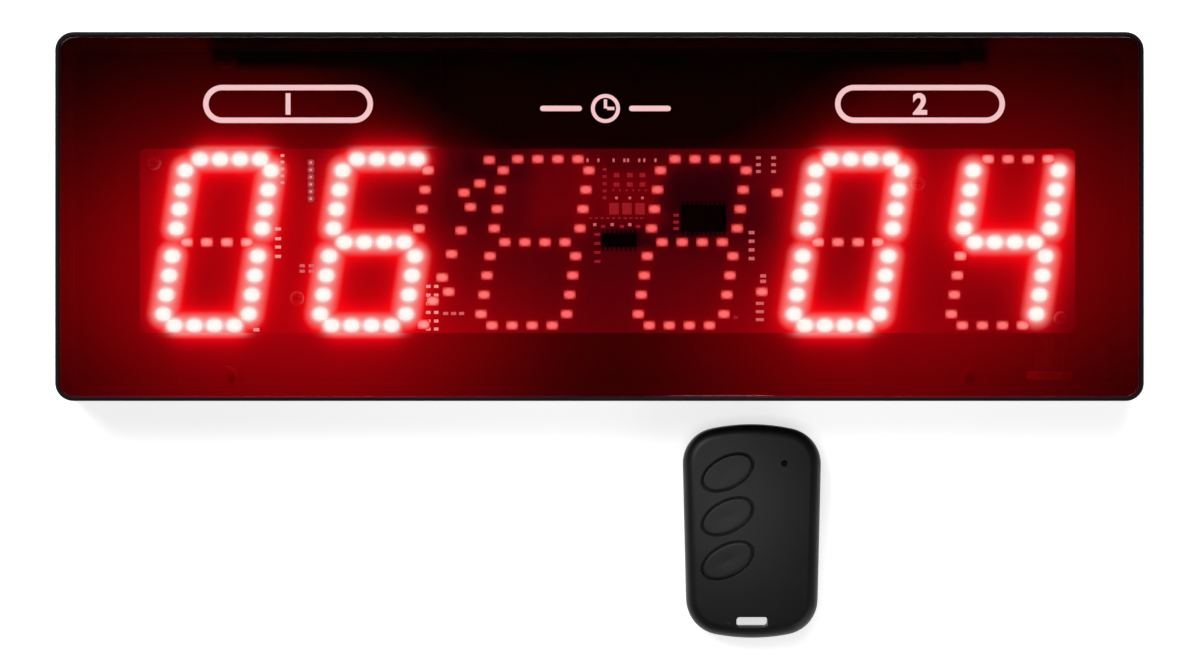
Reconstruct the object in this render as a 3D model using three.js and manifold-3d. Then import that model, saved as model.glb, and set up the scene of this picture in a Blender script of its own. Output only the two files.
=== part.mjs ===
// Electronic scoreboard with its hand remote, both lying face up on one flat surface.
// Millimetres, +Z up. X runs along the scoreboard, +Y is the display's own up direction.
// The origin is the middle of the back of the scoreboard's rear cover.
import * as THREE from "three";
import { mergeVertices } from "three/addons/utils/BufferGeometryUtils.js";
import Module from "manifold-3d";

const wasm = await Module();
wasm.setup();

// Clearances
const seatGap = 0.25;
const slideGap = 0.3;
const screwGap = 0.2;
const cutOverrun = 1;

// Digits: seven slanted segments of four lamps each. Their size sets that of the board and the case.
const digitCount = 6;
const digitHalfHeight = 23;
const digitHalfWidth = 11.85;
const digitSpacing = 19.8;
const digitPitch = 2 * digitHalfWidth + digitSpacing;
const displayOffsetX = 1.1;
const displayOffsetY = -0.4;
const slantAngle = THREE.MathUtils.degToRad(8.8);
const rowLampPitch = 5.55;
const columnLampPitch = 5.35;
const columnSpread = 0.35;
const lampSteps = [-1.5, -0.5, 0.5, 1.5];
const pairShifts = [-0.4, 0.6, 0.2];
const colonHalfHeight = 13.7;
const strokeLamps = 8;
const strokeLampPitchX = 2.6;
const strokeLampPitchY = 6.5;

// Display board and its lamps
const boardEndMargin = 20.75;
const boardRowMargin = 2.5;
const boardWidth = (digitCount - 1) * digitPitch + 2 * boardEndMargin;
const boardHeight = 2 * (digitHalfHeight + boardRowMargin);
const boardThickness = 1.6;
const boardCornerRadius = 1.5;
const boardToPanel = 7;
const lampLength = 3.5;
const lampWidth = 2.8;
const lampHeight = 1.9;
const lampDraft = 0.25;
const lampSink = 0.3;

// Scoreboard case, with the board's room to each of its sides
const boardLeftRoom = 22.7;
const boardRightRoom = 18.3;
const boardTopRoom = 31.95;
const boardBottomRoom = 18.75;
const caseWidth = boardWidth + boardLeftRoom + boardRightRoom;
const caseHeight = boardHeight + boardTopRoom + boardBottomRoom;
const boardX = (boardLeftRoom - boardRightRoom) / 2;
const boardY = (boardBottomRoom - boardTopRoom) / 2;
const caseDepth = 30;
const caseCornerRadius = 5;
const caseWall = 2.5;
const caseEdgeBevel = 0.4;
const rimWidth = 1;
const ledgeWidth = 5;
const ledgeThickness = 2;
const caseBossInset = 46;
const caseBossX = caseWidth / 2 - caseBossInset;
const caseBossRadius = 3.6;

// Front panel and the tape that holds it
const panelThickness = 3;
const tapeThickness = 0.5;
const tapeInset = 0.6;

// Rear cover
const coverThickness = 2.5;
const coverEdgeBevel = 0.8;
const coverLipThickness = 1.5;
const coverLipHeight = 4;
const coverRibThickness = 1.5;
const coverRibHeight = 3;
const coverRibX = 45;
const ventLength = 18;
const ventWidth = 1.8;
const ventPitch = 5;
const ventX = 60;
const ventInset = 29.35;
const ventY = ventInset - caseHeight / 2;
const ventCount = 5;
const hangerSideInset = 45;
const hangerTopInset = 43.85;
const hangerX = caseWidth / 2 - hangerSideInset;
const hangerY = caseHeight / 2 - hangerTopInset;
const hangerHoleRadius = 4.4;
const hangerSlotWidth = 4.8;
const hangerSlotLength = 9;
const hangerPadMargin = 4;
const hangerPadThickness = 1;

// Screws that close the case
const rearScrewShankRadius = 1.4;
const rearScrewHeadRadius = 2.8;
const rearScrewHeadHeight = 1.1;
const rearScrewLength = 13;
const rearScrewRecess = 0.15;

// Screws and posts of the display board
const boardScrewInset = 4;
const innerScrewInsetX = 43.6;
const innerScrewInsetY = 9.6;
const boardScrewShankRadius = 1;
const boardScrewHeadRadius = 2;
const boardScrewHeadHeight = 1.3;
const boardScrewLength = 8;
const postRadius = 2.8;
const postDraft = 0.7;

// Chips, one set of sizes for each, with their places from the middle of the board
const driverFromDigit = 3.75;
const driverX = displayOffsetX + digitPitch / 2 + driverFromDigit;
const logicFromMiddle = 2.1;
const logicX = displayOffsetX + logicFromMiddle;
const driverY = 6.2;
const driverChip = { length: 12.7, width: 7.5, height: 2.3, pitch: 1.27, leadsPerSide: 10, x: driverX, y: driverY };
const logicChip = { length: 9.9, width: 3.9, height: 1.5, pitch: 1.27, leadsPerSide: 8, x: logicX, y: 0.2 };
const controllerChip = { length: 14, width: 9, height: 2.2, pitch: 1.27, leadsPerSide: 9, x: -22.2, y: 2.6 };
const remoteChip = { length: 4.9, width: 3.9, height: 1.5, pitch: 1.27, leadsPerSide: 4, x: 9, y: 6 };
const leadWidth = 0.5;
const leadThickness = 0.25;
const leadReach = 1.1;
const chipStandOff = 0.15;

// Pin header for programming, on the front of the board
const headerSideInset = 47.5;
const headerTopInset = 8.9;
const headerPitch = 2;
const headerPins = 6;
const headerWidth = 2;
const headerHeight = 2;
const headerPinSize = 0.5;
const headerPinHeight = 2.4;

// Parts on the back of the display board
const crystalLength = 11;
const crystalWidth = 4.6;
const crystalHeight = 3.5;
const crystalX = -40.2;
const crystalY = 2.6;
const regulatorSideInset = 83.7;
const regulatorX = boardWidth / 2 - regulatorSideInset;
const regulatorY = 10.6;
const regulatorWidth = 10;
const regulatorLength = 9;
const regulatorHeight = 4.4;
const regulatorTabLength = 15;
const regulatorTabThickness = 1.3;
const regulatorHoleRadius = 1.8;
const capacitorSideInset = 63.7;
const capacitorX = boardWidth / 2 - capacitorSideInset;
const capacitorY = 0.6;
const capacitorRadius = 5;
const capacitorClearance = 0.775;
const capacitorGrooveDepth = 0.5;
const capacitorGrooveHeight = 1.8;

// Radio receiver and its coiled aerial
const receiverSideInset = 27.3;
const receiverX = receiverSideInset - boardWidth / 2;
const receiverY = 8.6;
const receiverLength = 30;
const receiverWidth = 13;
const receiverThickness = 1;
const receiverCanLength = 12;
const receiverCanWidth = 9;
const receiverCanHeight = 3;
const receiverPinSize = 0.6;
const receiverPinPitch = 2.54;
const receiverPins = 4;
const receiverDrop = 3;
const aerialRadius = 2.2;
const aerialWire = 0.8;
const aerialTurns = 7;
const aerialPitch = 1.9;
const aerialTail = 3;

// Power inlet in the lower wall, its nut and its inner lead
const inletSideInset = 25;
const inletX = caseWidth / 2 - inletSideInset;
const inletZ = 13;
const inletFlangeRadius = 5.6;
const inletFlangeThickness = 1.4;
const inletBarrelRadius = 4;
const inletBarrelLength = 12;
const inletBoreRadius = 3;
const inletBoreDepth = 9.5;
const inletPinRadius = 1;
const inletPinLength = 8.5;
const inletPadThickness = 3;
const inletPadMargin = 2.2;
const inletRecess = 0.15;
const nutAcrossCorners = 12.6;
const nutThickness = 2.4;
const leadConnectorInsetX = 20.7;
const leadConnectorInsetY = 12.1;
const leadConnectorX = boardWidth / 2 - leadConnectorInsetX;
const leadConnectorY = leadConnectorInsetY - boardHeight / 2;
const leadConnectorLength = 7.5;
const leadConnectorWidth = 5.8;
const leadConnectorHeight = 7;
const leadConnectorWall = 1;
const leadRadius = 1.4;
const leadStraight = 2.4;
const leadClearance = 2.9;

// Hand remote: outline of four arcs and two tapering sides
const remoteX = 42.45;
const remoteApart = 6.7;
const remoteLength = 59.4;
const remoteY = -(caseHeight + remoteLength) / 2 - remoteApart;
const remoteTopHalfWidth = 19.2;
const remoteBottomHalfWidth = 18.3;
const remoteTopArcRadius = 53.5;
const remoteBottomArcRadius = 53.5;
const remoteCornerRadius = 10;
const remoteThickness = 15;
const remotePartingZ = 6.5;
const remotePartingGap = 0.3;
const remoteWall = 1.6;
const remoteTopWall = 1.4;
const remoteEdgeRadius = 3.2;
const remoteRearEdgeRadius = 2.4;
const remoteCrownAcross = 0.8;
const remoteCrownAlong = 1.2;
const remoteLipHeight = 1;
const lanyardSlotLength = 8.7;
const lanyardSlotWidth = 2.7;
const lanyardSlotInset = 4.5;
const lanyardSlotY = lanyardSlotInset - remoteLength / 2;
const lanyardSlotWall = 1.2;

// Keys of the remote
const keyCount = 3;
const keyX = -6.9;
const firstKeyInset = 13.3;
const firstKeyY = remoteLength / 2 - firstKeyInset;
const keyPitch = 12.25;
const keyTilt = THREE.MathUtils.degToRad(28);
const keyWellHalfLength = 7.9;
const keyWellHalfWidth = 4.55;
const keyWellGap = 0.35;
const keyProud = 0.25;
const keyFlangeReach = 0.5;
const keyStemRadius = 1.6;
const keyStemGap = 0.5;
const keyTravel = 0.7;
const keyHollowWall = 1.3;

// Inside the remote, from the floor up
const batteryRadius = 10;
const batteryThickness = 3.2;
const batteryEdgeBevel = 0.3;
const batteryX = 2;
const batteryY = -6.5;
const clipThickness = 0.3;
const clipWidth = 6;
const padSpringRadius = 3;
const padSpringThickness = 0.25;
const remoteBoardThickness = 1.2;
const remoteBoardGap = 0.5;
const switchSize = 6;
const switchHeight = 2.5;
const plungerRadius = 1.7;
const plungerProud = 0.7;
const plungerDepth = 0.9;
const indicatorX = 8.9;
const indicatorInset = 10.8;
const indicatorY = remoteLength / 2 - indicatorInset;
const indicatorHoleRadius = 0.85;
const indicatorRadius = 1.5;
const indicatorFlangeRadius = 1.8;
const indicatorFlangeHeight = 0.8;
const resonatorX = 9;
const resonatorY = -3;
const resonatorRadius = 2.9;
const resonatorHeight = 2.4;
const remoteScrewPlaces = [new THREE.Vector2(13.2, 10.5), new THREE.Vector2(-13, -17)];
const remoteScrewShankRadius = 0.9;
const remoteScrewHeadRadius = 1.9;
const remoteScrewHeadHeight = 1;
const remoteScrewLength = 9;
const remoteScrewRecess = 0.15;
const remoteBossRadius = 2.3;
const remoteBossMeet = 8.6;

// How finely round things are faceted
const cornerSteps = 3;
const smallCornerSteps = 2;
const ventCornerSteps = 1;
const roundSides = 14;
const smallRoundSides = 8;
const ovalSides = 16;
const remoteCornerSteps = 4;
const remoteArcSteps = 4;
const remoteSideSteps = 2;
const edgeSteps = 3;
const crownShares = [0.5];
const aerialStepsPerTurn = 8;
const wireSides = 4;
const nutSides = 6;
const leadSteps = 12;
const leadSides = 6;

// Heights that follow from the sizes above
const panelBackZ = caseDepth - panelThickness;
const tapeTopZ = panelBackZ - seatGap;
const ledgeTopZ = tapeTopZ - tapeThickness - seatGap;
const boardTopZ = panelBackZ - boardToPanel;
const boardBackZ = boardTopZ - boardThickness;
const capacitorRoom = boardBackZ - seatGap / 2 - coverThickness - coverRibHeight;
const capacitorHeight = capacitorRoom - capacitorClearance;
const caseBackZ = coverThickness + seatGap;
const innerWidth = caseWidth - 2 * caseWall;
const innerHeight = caseHeight - 2 * caseWall;
const caseBossY = innerHeight / 2 - caseBossRadius;
const clipZ = remoteWall + seatGap;
const batteryZ = clipZ + clipThickness + seatGap;
const padSpringZ = batteryZ + batteryThickness + seatGap / 2;
const remoteBoardZ = padSpringZ + padSpringThickness + seatGap / 2;
const remoteBoardTopZ = remoteBoardZ + remoteBoardThickness;
const switchZ = remoteBoardTopZ + seatGap / 2;
const switchTopZ = switchZ + switchHeight;
const plungerTopZ = switchTopZ + plungerProud;
const keyStemZ = plungerTopZ + keyStemGap;
const keyFlangeZ = keyStemZ + seatGap;

// Finishes
const finish = {
  blackCase: { color: 0x0c0a0b, roughness: 0.45, metalness: 0 },
  redPanel: { color: 0x7a0612, roughness: 0.08, metalness: 0 },
  tape: { color: 0x15090a, roughness: 0.9, metalness: 0 },
  board: { color: 0x3a0a10, roughness: 0.5, metalness: 0 },
  chip: { color: 0x101012, roughness: 0.5, metalness: 0 },
  steel: { color: 0x9a9a9c, roughness: 0.35, metalness: 1 },
  blackSteel: { color: 0x1c1b1c, roughness: 0.4, metalness: 1 },
  copper: { color: 0xb4693a, roughness: 0.4, metalness: 1 },
  sleeve: { color: 0x1b2230, roughness: 0.5, metalness: 0 },
  whitePlastic: { color: 0xd8d5cc, roughness: 0.5, metalness: 0 },
  leadSheath: { color: 0x141414, roughness: 0.6, metalness: 0 },
  remoteShell: { color: 0x222325, roughness: 0.55, metalness: 0 },
  remoteKey: { color: 0x262829, roughness: 0.6, metalness: 0 },
  indicator: { color: 0x8a1016, roughness: 0.2, metalness: 0 },
  remoteBoard: { color: 0x1d4a2c, roughness: 0.5, metalness: 0 },
};
const materials = Object.fromEntries(
  Object.entries(finish).map(([name, look]) => [name, new THREE.MeshStandardMaterial({ name, ...look })]),
);

// Solids: a closed geometry in, a joined or cut solid out
function toSolid(geometry) {
  const bare = geometry.clone();
  bare.deleteAttribute("normal");
  bare.deleteAttribute("uv");
  const merged = mergeVertices(bare);
  const corners = merged.index.array;
  const kept = [];
  for (let first = 0; first < corners.length; first += 3) {
    const [a, b, c] = corners.slice(first, first + 3);
    if (a !== b && b !== c && c !== a) kept.push(a, b, c);
  }
  const vertProperties = new Float32Array(merged.attributes.position.array);
  return new wasm.Manifold(new wasm.Mesh({ numProp: 3, vertProperties, triVerts: new Uint32Array(kept) }));
}

function toGeometry(solid) {
  const { vertProperties, triVerts } = solid.getMesh();
  const geometry = new THREE.BufferGeometry();
  geometry.setAttribute("position", new THREE.BufferAttribute(vertProperties, 3));
  geometry.setIndex(new THREE.BufferAttribute(triVerts, 1));
  geometry.computeVertexNormals();
  return geometry;
}

function joined(base, others) {
  return others.reduce((sum, other) => sum.add(toSolid(other)), base);
}

function cut(base, others) {
  return others.reduce((rest, other) => rest.subtract(toSolid(other)), base);
}

function piece(name, geometry, material, x, y, z) {
  const mesh = new THREE.Mesh(geometry, materials[material]);
  mesh.name = name;
  mesh.position.set(x, y, z);
  return mesh;
}

// Basic forms, each standing on z = 0 in its own frame
function roundedRectangle(width, height, radius) {
  const x = width / 2;
  const y = height / 2;
  const shape = new THREE.Shape();
  shape.absarc(x - radius, y - radius, radius, 0, Math.PI / 2);
  shape.absarc(radius - x, y - radius, radius, Math.PI / 2, Math.PI);
  shape.absarc(radius - x, radius - y, radius, Math.PI, (3 * Math.PI) / 2);
  shape.absarc(x - radius, radius - y, radius, (3 * Math.PI) / 2, 2 * Math.PI);
  shape.closePath();
  return shape;
}

function ovalShape(halfLength, halfWidth, tilt) {
  return new THREE.Shape().absellipse(0, 0, halfLength, halfWidth, 0, 2 * Math.PI, false, tilt);
}

function prism(shape, depth, steps = cornerSteps) {
  return new THREE.ExtrudeGeometry(shape, { depth, bevelEnabled: false, curveSegments: steps });
}

function block(width, height, depth) {
  return new THREE.BoxGeometry(width, height, depth).translate(0, 0, depth / 2);
}

function rod(radius, length, sides = roundSides) {
  return turned([[0, 0], [radius, 0], [radius, length], [0, length]], sides);
}

// Revolves [radius, height] points about Z; the list runs from the foot up the outside to the top
function turned(profile, sides = roundSides) {
  const points = profile.map(([radius, height]) => new THREE.Vector2(radius, height));
  return new THREE.LatheGeometry(points, sides).rotateX(Math.PI / 2);
}

// A block whose top is smaller than its foot by the draft on every side
function draftedBlock(length, width, height, draft) {
  const geometry = new THREE.BoxGeometry(length, width, height);
  const place = geometry.attributes.position;
  for (let i = 0; i < place.count; i += 1) {
    if (place.getZ(i) > 0) {
      place.setX(i, place.getX(i) - Math.sign(place.getX(i)) * draft);
      place.setY(i, place.getY(i) - Math.sign(place.getY(i)) * draft);
    }
  }
  return geometry.translate(0, 0, height / 2);
}

// A slab with rounded corners and a bevelled front or back edge
function bevelledSlab(width, height, depth, radius, bevel, bevelOnTop) {
  const inner = roundedRectangle(width - 2 * bevel, height - 2 * bevel, radius - bevel);
  const slab = new THREE.ExtrudeGeometry(inner, {
    depth: depth - bevel,
    bevelThickness: bevel,
    bevelSize: bevel,
    bevelSegments: 1,
    curveSegments: cornerSteps,
  });
  const full = toSolid(slab);
  const keep = block(width + cutOverrun, height + cutOverrun, depth);
  const trimmed = full.intersect(toSolid(keep));
  if (bevelOnTop) return trimmed;
  return toSolid(toGeometry(trimmed).rotateX(Math.PI).translate(0, 0, depth));
}

function screw(shankRadius, headRadius, headHeight, length) {
  const profile = [
    [0, -length],
    [shankRadius / 2, -length],
    [shankRadius, shankRadius - length],
    [shankRadius, 0],
    [headRadius, 0],
    [headRadius - headHeight / 3, headHeight],
    [0, headHeight],
  ];
  return turned(profile, smallRoundSides);
}

// A small-outline chip: drafted body, a row of bent leads along each long side
function chip(sizes) {
  const waist = sizes.height / 2;
  const body = draftedBlock(sizes.length, sizes.width, sizes.height, leadThickness);
  body.translate(0, 0, chipStandOff);
  const end = sizes.width / 2 + leadReach;
  const profile = new THREE.Shape([
    new THREE.Vector2(sizes.width / 2 - leadReach, waist),
    new THREE.Vector2(end - leadThickness, waist),
    new THREE.Vector2(end - leadThickness, 0),
    new THREE.Vector2(end, 0),
    new THREE.Vector2(end, waist + leadThickness),
    new THREE.Vector2(sizes.width / 2 - leadReach, waist + leadThickness),
  ]);
  const leads = [];
  for (let i = 0; i < sizes.leadsPerSide; i += 1) {
    const along = (i - (sizes.leadsPerSide - 1) / 2) * sizes.pitch;
    for (const turn of [0, Math.PI]) {
      const lead = prism(profile, leadWidth).translate(0, 0, -leadWidth / 2);
      lead.rotateX(Math.PI / 2).rotateZ(Math.PI / 2 + turn).translate(along, 0, 0);
      leads.push(lead);
    }
  }
  return toGeometry(joined(toSolid(body), leads));
}

// Places of the four screws of the display board, from the board's middle
function boardScrewPlaces() {
  const cornerX = boardWidth / 2 - boardScrewInset;
  const cornerY = boardHeight / 2 - boardScrewInset;
  const innerX = boardWidth / 2 - innerScrewInsetX;
  const innerY = boardHeight / 2 - innerScrewInsetY;
  return [
    new THREE.Vector2(-cornerX, cornerY),
    new THREE.Vector2(-innerX, -innerY),
    new THREE.Vector2(innerX, innerY),
    new THREE.Vector2(cornerX, -cornerY),
  ];
}

function caseBossPlaces() {
  const sides = [-1, 1];
  return sides.flatMap((side) => sides.map((row) => new THREE.Vector2(side * caseBossX, row * caseBossY)));
}

// Case frame: four walls, a rim round the panel, a ledge behind it and four screw bosses
function caseFrameGeometry() {
  const wallLength = caseDepth - caseBackZ;
  const shell = bevelledSlab(caseWidth, caseHeight, wallLength, caseCornerRadius, caseEdgeBevel, true);
  const inside = roundedRectangle(innerWidth, innerHeight, caseCornerRadius - caseWall);
  const window = roundedRectangle(caseWidth - 2 * ledgeWidth, caseHeight - 2 * ledgeWidth, caseCornerRadius);
  const recess = panelShape(rimWidth);
  const ledgeZ = ledgeTopZ - caseBackZ;
  const hollow = prism(inside, ledgeZ - ledgeThickness + cutOverrun, smallCornerSteps);
  const opening = prism(window, wallLength + 2 * cutOverrun, smallCornerSteps);
  for (const space of [hollow, opening]) space.translate(0, 0, -cutOverrun);
  const seat = prism(recess, wallLength - ledgeZ + cutOverrun).translate(0, 0, ledgeZ);
  const frame = cut(shell, [hollow, opening, seat]);
  const bosses = caseBossPlaces().map((place) => caseBoss(place, ledgeZ - ledgeThickness / 2));
  const pad = block(inletPadWidth(), inletPadThickness + caseWall, inletPadWidth());
  const padZ = inletZ - caseBackZ - inletPadWidth() / 2;
  const padY = (inletPadThickness + caseWall - caseHeight) / 2;
  const solid = joined(frame, [...bosses, pad.translate(inletX, padY, padZ)]);
  const pilots = caseBossPlaces().map((place) => {
    const radius = rearScrewShankRadius + screwGap;
    const pilot = rod(radius, rearScrewLength + 2 * cutOverrun, smallRoundSides);
    return pilot.translate(place.x, place.y, -cutOverrun);
  });
  return toGeometry(cut(solid, [...pilots, ...inletHoles()]));
}

// A round boss with a web to the wall beside it, its foot clear of the rear cover's lip
function caseBoss(place, height) {
  const round = toSolid(rod(caseBossRadius, height, roundSides));
  const web = block(caseBossRadius, caseBossRadius + caseWall / 2, height);
  const webY = (Math.sign(place.y) * (caseBossRadius + caseWall / 2)) / 2;
  return toGeometry(joined(round, [web.translate(0, webY, 0)])).translate(place.x, place.y, 0);
}

function inletPadWidth() {
  return 2 * (inletFlangeRadius + inletPadMargin);
}

// The inlet's hole and the shallow recess for its flange, in the lower wall
function inletHoles() {
  const z = inletZ - caseBackZ;
  const wallY = -caseHeight / 2;
  const through = rod(inletBarrelRadius + slideGap, caseWall + inletPadThickness + 2 * cutOverrun);
  const recess = rod(inletFlangeRadius + slideGap, inletFlangeThickness + seatGap + cutOverrun);
  return [through, recess].map((hole) => hole.rotateX(-Math.PI / 2).translate(inletX, wallY - cutOverrun, z));
}

function panelShape(inset) {
  return roundedRectangle(caseWidth - 2 * inset, caseHeight - 2 * inset, caseCornerRadius - inset);
}

function frontPanelGeometry() {
  const inset = rimWidth + slideGap;
  const width = caseWidth - 2 * inset;
  const height = caseHeight - 2 * inset;
  const radius = caseCornerRadius - inset;
  return toGeometry(bevelledSlab(width, height, panelThickness, radius, slideGap, true));
}

function panelTapeGeometry() {
  const outer = panelShape(rimWidth + slideGap + tapeInset);
  const width = caseWidth - 2 * ledgeWidth + 2 * tapeInset;
  const height = caseHeight - 2 * ledgeWidth + 2 * tapeInset;
  outer.holes.push(roundedRectangle(width, height, caseCornerRadius));
  return prism(outer, tapeThickness, smallCornerSteps);
}

// Rear cover: plate, lip inside the walls, posts for the board, ribs, vents and two keyhole hangers
function rearCoverGeometry() {
  const plate = bevelledSlab(caseWidth, caseHeight, coverThickness, caseCornerRadius, coverEdgeBevel, false);
  const holes = [...rearScrewHoles(), ...vents(), ...hangerHoles()];
  const raised = [coverLip(), ...coverRibs(), ...hangerPads(), ...boardScrewPlaces().map(boardPost)];
  return toGeometry(cut(joined(plate, raised), holes));
}

function coverLip() {
  const outset = caseWall + slideGap;
  const inset = outset + coverLipThickness;
  const height = coverLipHeight + coverThickness / 2;
  const outer = prism(panelShape(outset), height, smallCornerSteps);
  const inner = prism(panelShape(inset), height + 2 * cutOverrun, smallCornerSteps);
  inner.translate(0, 0, -cutOverrun);
  const bossRooms = caseBossPlaces().map((place) => {
    const width = 2 * (caseBossRadius + slideGap);
    return block(width, 2 * width, height + 2 * cutOverrun).translate(place.x, place.y, -cutOverrun);
  });
  const padRoomWidth = inletPadWidth() + 2 * slideGap;
  const padRoom = block(padRoomWidth, padRoomWidth, height + 2 * cutOverrun);
  const reach = coverLipThickness + caseWall + inletPadThickness;
  padRoom.translate(inletX, -caseHeight / 2 + reach - padRoomWidth / 2 + slideGap, -cutOverrun);
  return toGeometry(cut(toSolid(outer), [inner, ...bossRooms, padRoom])).translate(0, 0, coverThickness / 2);
}

function coverRibs() {
  const length = innerWidth - 2 * (slideGap + coverLipThickness) + coverLipThickness;
  const height = coverRibHeight + coverThickness / 2;
  const long = block(length, coverRibThickness, height);
  const across = innerHeight - 2 * (slideGap + coverLipThickness) + coverLipThickness;
  const short = [-1, 1].map((side) => {
    return block(coverRibThickness, across, height).translate(side * coverRibX, 0, coverThickness / 2);
  });
  return [long.translate(0, 0, coverThickness / 2), ...short];
}

// A drafted post under each screw of the display board, bored for the screw
function boardPost(place) {
  const foot = coverThickness / 2;
  const top = boardBackZ - seatGap;
  const profile = [
    [0, foot],
    [postRadius + postDraft, foot],
    [postRadius, top],
    [boardScrewShankRadius + screwGap, top],
    [boardScrewShankRadius + screwGap, top - boardScrewLength],
    [0, top - boardScrewLength],
  ];
  return turned(profile, smallRoundSides).translate(boardX + place.x, boardY + place.y, 0);
}

function rearScrewHoles() {
  const depth = rearScrewRecess + rearScrewHeadHeight + seatGap;
  return caseBossPlaces().flatMap((place) => {
    const through = rod(rearScrewShankRadius + screwGap, coverThickness + 2 * cutOverrun, smallRoundSides);
    const sink = rod(rearScrewHeadRadius + slideGap, depth + cutOverrun, smallRoundSides);
    return [through, sink].map((hole) => hole.translate(place.x, place.y, -cutOverrun));
  });
}

function vents() {
  const slots = [];
  for (const side of [-1, 1]) {
    for (let i = 0; i < ventCount; i += 1) {
      const x = side * ventX + (i - (ventCount - 1) / 2) * ventPitch;
      const outline = roundedRectangle(ventWidth, ventLength, ventWidth / 2);
      const slot = prism(outline, coverThickness + 2 * cutOverrun, ventCornerSteps);
      slots.push(slot.translate(x, ventY, -cutOverrun));
    }
  }
  return slots;
}

// Keyholes: a round hole for the wall screw's head, with a slot above it for the screw's neck
function hangerHoles() {
  const depth = coverThickness + hangerPadThickness + 2 * cutOverrun;
  return [-1, 1].flatMap((side) => {
    const head = rod(hangerHoleRadius, depth, roundSides).translate(side * hangerX, hangerY, -cutOverrun);
    const neckShape = roundedRectangle(hangerSlotWidth, hangerSlotLength, hangerSlotWidth / 2);
    const neck = prism(neckShape, depth, smallCornerSteps);
    const neckY = hangerY + hangerSlotLength / 2;
    return [head, neck.translate(side * hangerX, neckY, -cutOverrun)];
  });
}

function hangerPads() {
  const width = 2 * (hangerHoleRadius + hangerPadMargin);
  const length = width + hangerSlotLength;
  const height = hangerPadThickness + coverThickness / 2;
  return [-1, 1].map((side) => {
    const pad = prism(roundedRectangle(width, length, hangerPadMargin), height, smallCornerSteps);
    return pad.translate(side * hangerX, hangerY + hangerSlotLength / 2, coverThickness / 2);
  });
}

// Places of the lamps from the display's middle: six digits, two colons and a slanting stroke
function slanted(x, y) {
  return new THREE.Vector2(x + y * Math.tan(slantAngle), y);
}

function digitLamps() {
  const lamps = [];
  for (const step of lampSteps) {
    for (const row of [-1, 0, 1]) lamps.push(slanted(step * rowLampPitch, row * digitHalfHeight));
    for (const half of [-1, 1]) {
      const y = half * (digitHalfHeight / 2 + columnSpread) + step * columnLampPitch;
      for (const side of [-1, 1]) lamps.push(slanted(side * digitHalfWidth, y));
    }
  }
  return lamps;
}

function lampPlaces() {
  const places = [];
  for (let digit = 0; digit < digitCount; digit += 1) {
    const middle = (digit - (digitCount - 1) / 2) * digitPitch + pairShifts[Math.floor(digit / 2)];
    for (const lamp of digitLamps()) places.push(new THREE.Vector2(middle + lamp.x, lamp.y));
  }
  for (const [side, shift] of [[-1, pairShifts[1]], [1, pairShifts[2]]]) {
    const middle = side * digitPitch + shift;
    for (const row of [-1, 1]) {
      const lamp = slanted(0, row * colonHalfHeight);
      places.push(new THREE.Vector2(middle + lamp.x, lamp.y));
    }
  }
  for (let i = 0; i < strokeLamps; i += 1) {
    const step = i - (strokeLamps - 1) / 2;
    const x = step * strokeLampPitchX - digitPitch + pairShifts[1];
    places.push(new THREE.Vector2(x, step * strokeLampPitchY));
  }
  return places;
}

function displayBoardGeometry() {
  const outline = roundedRectangle(boardWidth, boardHeight, boardCornerRadius);
  for (const place of boardScrewPlaces()) {
    const hole = new THREE.Path();
    hole.absarc(place.x, place.y, boardScrewShankRadius + screwGap, 0, 2 * Math.PI, true);
    outline.holes.push(hole);
  }
  const board = toSolid(prism(outline, boardThickness));
  const lamps = lampPlaces().map((place) => {
    const lamp = draftedBlock(lampLength, lampWidth, lampHeight + lampSink, lampDraft);
    const x = displayOffsetX + place.x;
    const y = displayOffsetY + place.y;
    return lamp.translate(x, y, boardThickness - lampSink);
  });
  return toGeometry(joined(board, lamps));
}

function programmingHeaderGeometry() {
  const length = headerPins * headerPitch;
  const strip = toSolid(draftedBlock(headerWidth, length, headerHeight, headerPinSize / 2));
  const pins = [];
  for (let i = 0; i < headerPins; i += 1) {
    const y = (i - (headerPins - 1) / 2) * headerPitch;
    pins.push(block(headerPinSize, headerPinSize, headerHeight + headerPinHeight).translate(0, y, 0));
  }
  return toGeometry(joined(strip, pins));
}

function crystalGeometry() {
  const can = roundedRectangle(crystalLength, crystalWidth, crystalWidth / 2);
  const footWidth = crystalWidth + leadWidth;
  const foot = roundedRectangle(crystalLength + leadWidth, footWidth, footWidth / 2);
  const flange = prism(foot, leadWidth, smallCornerSteps);
  return toGeometry(joined(toSolid(flange), [prism(can, crystalHeight, smallCornerSteps)]));
}

// A power regulator lying flat: plastic body on a longer metal tab with a screw hole, three leads
function regulatorGeometry() {
  const tab = block(regulatorWidth, regulatorTabLength, regulatorTabThickness);
  const body = draftedBlock(regulatorWidth, regulatorLength, regulatorHeight, leadThickness);
  const bodyY = (regulatorLength - regulatorTabLength) / 2;
  const leads = [-1, 0, 1].map((side) => {
    const lead = block(leadWidth, leadReach + regulatorTabLength, leadWidth);
    return lead.translate((side * regulatorWidth) / 4, -leadReach, regulatorTabThickness / 2);
  });
  const solid = joined(toSolid(tab), [body.translate(0, bodyY, 0), ...leads]);
  const holeY = regulatorTabLength / 2 - (regulatorTabLength - regulatorLength) / 2;
  const hole = rod(regulatorHoleRadius, regulatorTabThickness + 2 * cutOverrun, smallRoundSides);
  return toGeometry(cut(solid, [hole.translate(0, holeY, -cutOverrun)]));
}

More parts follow.
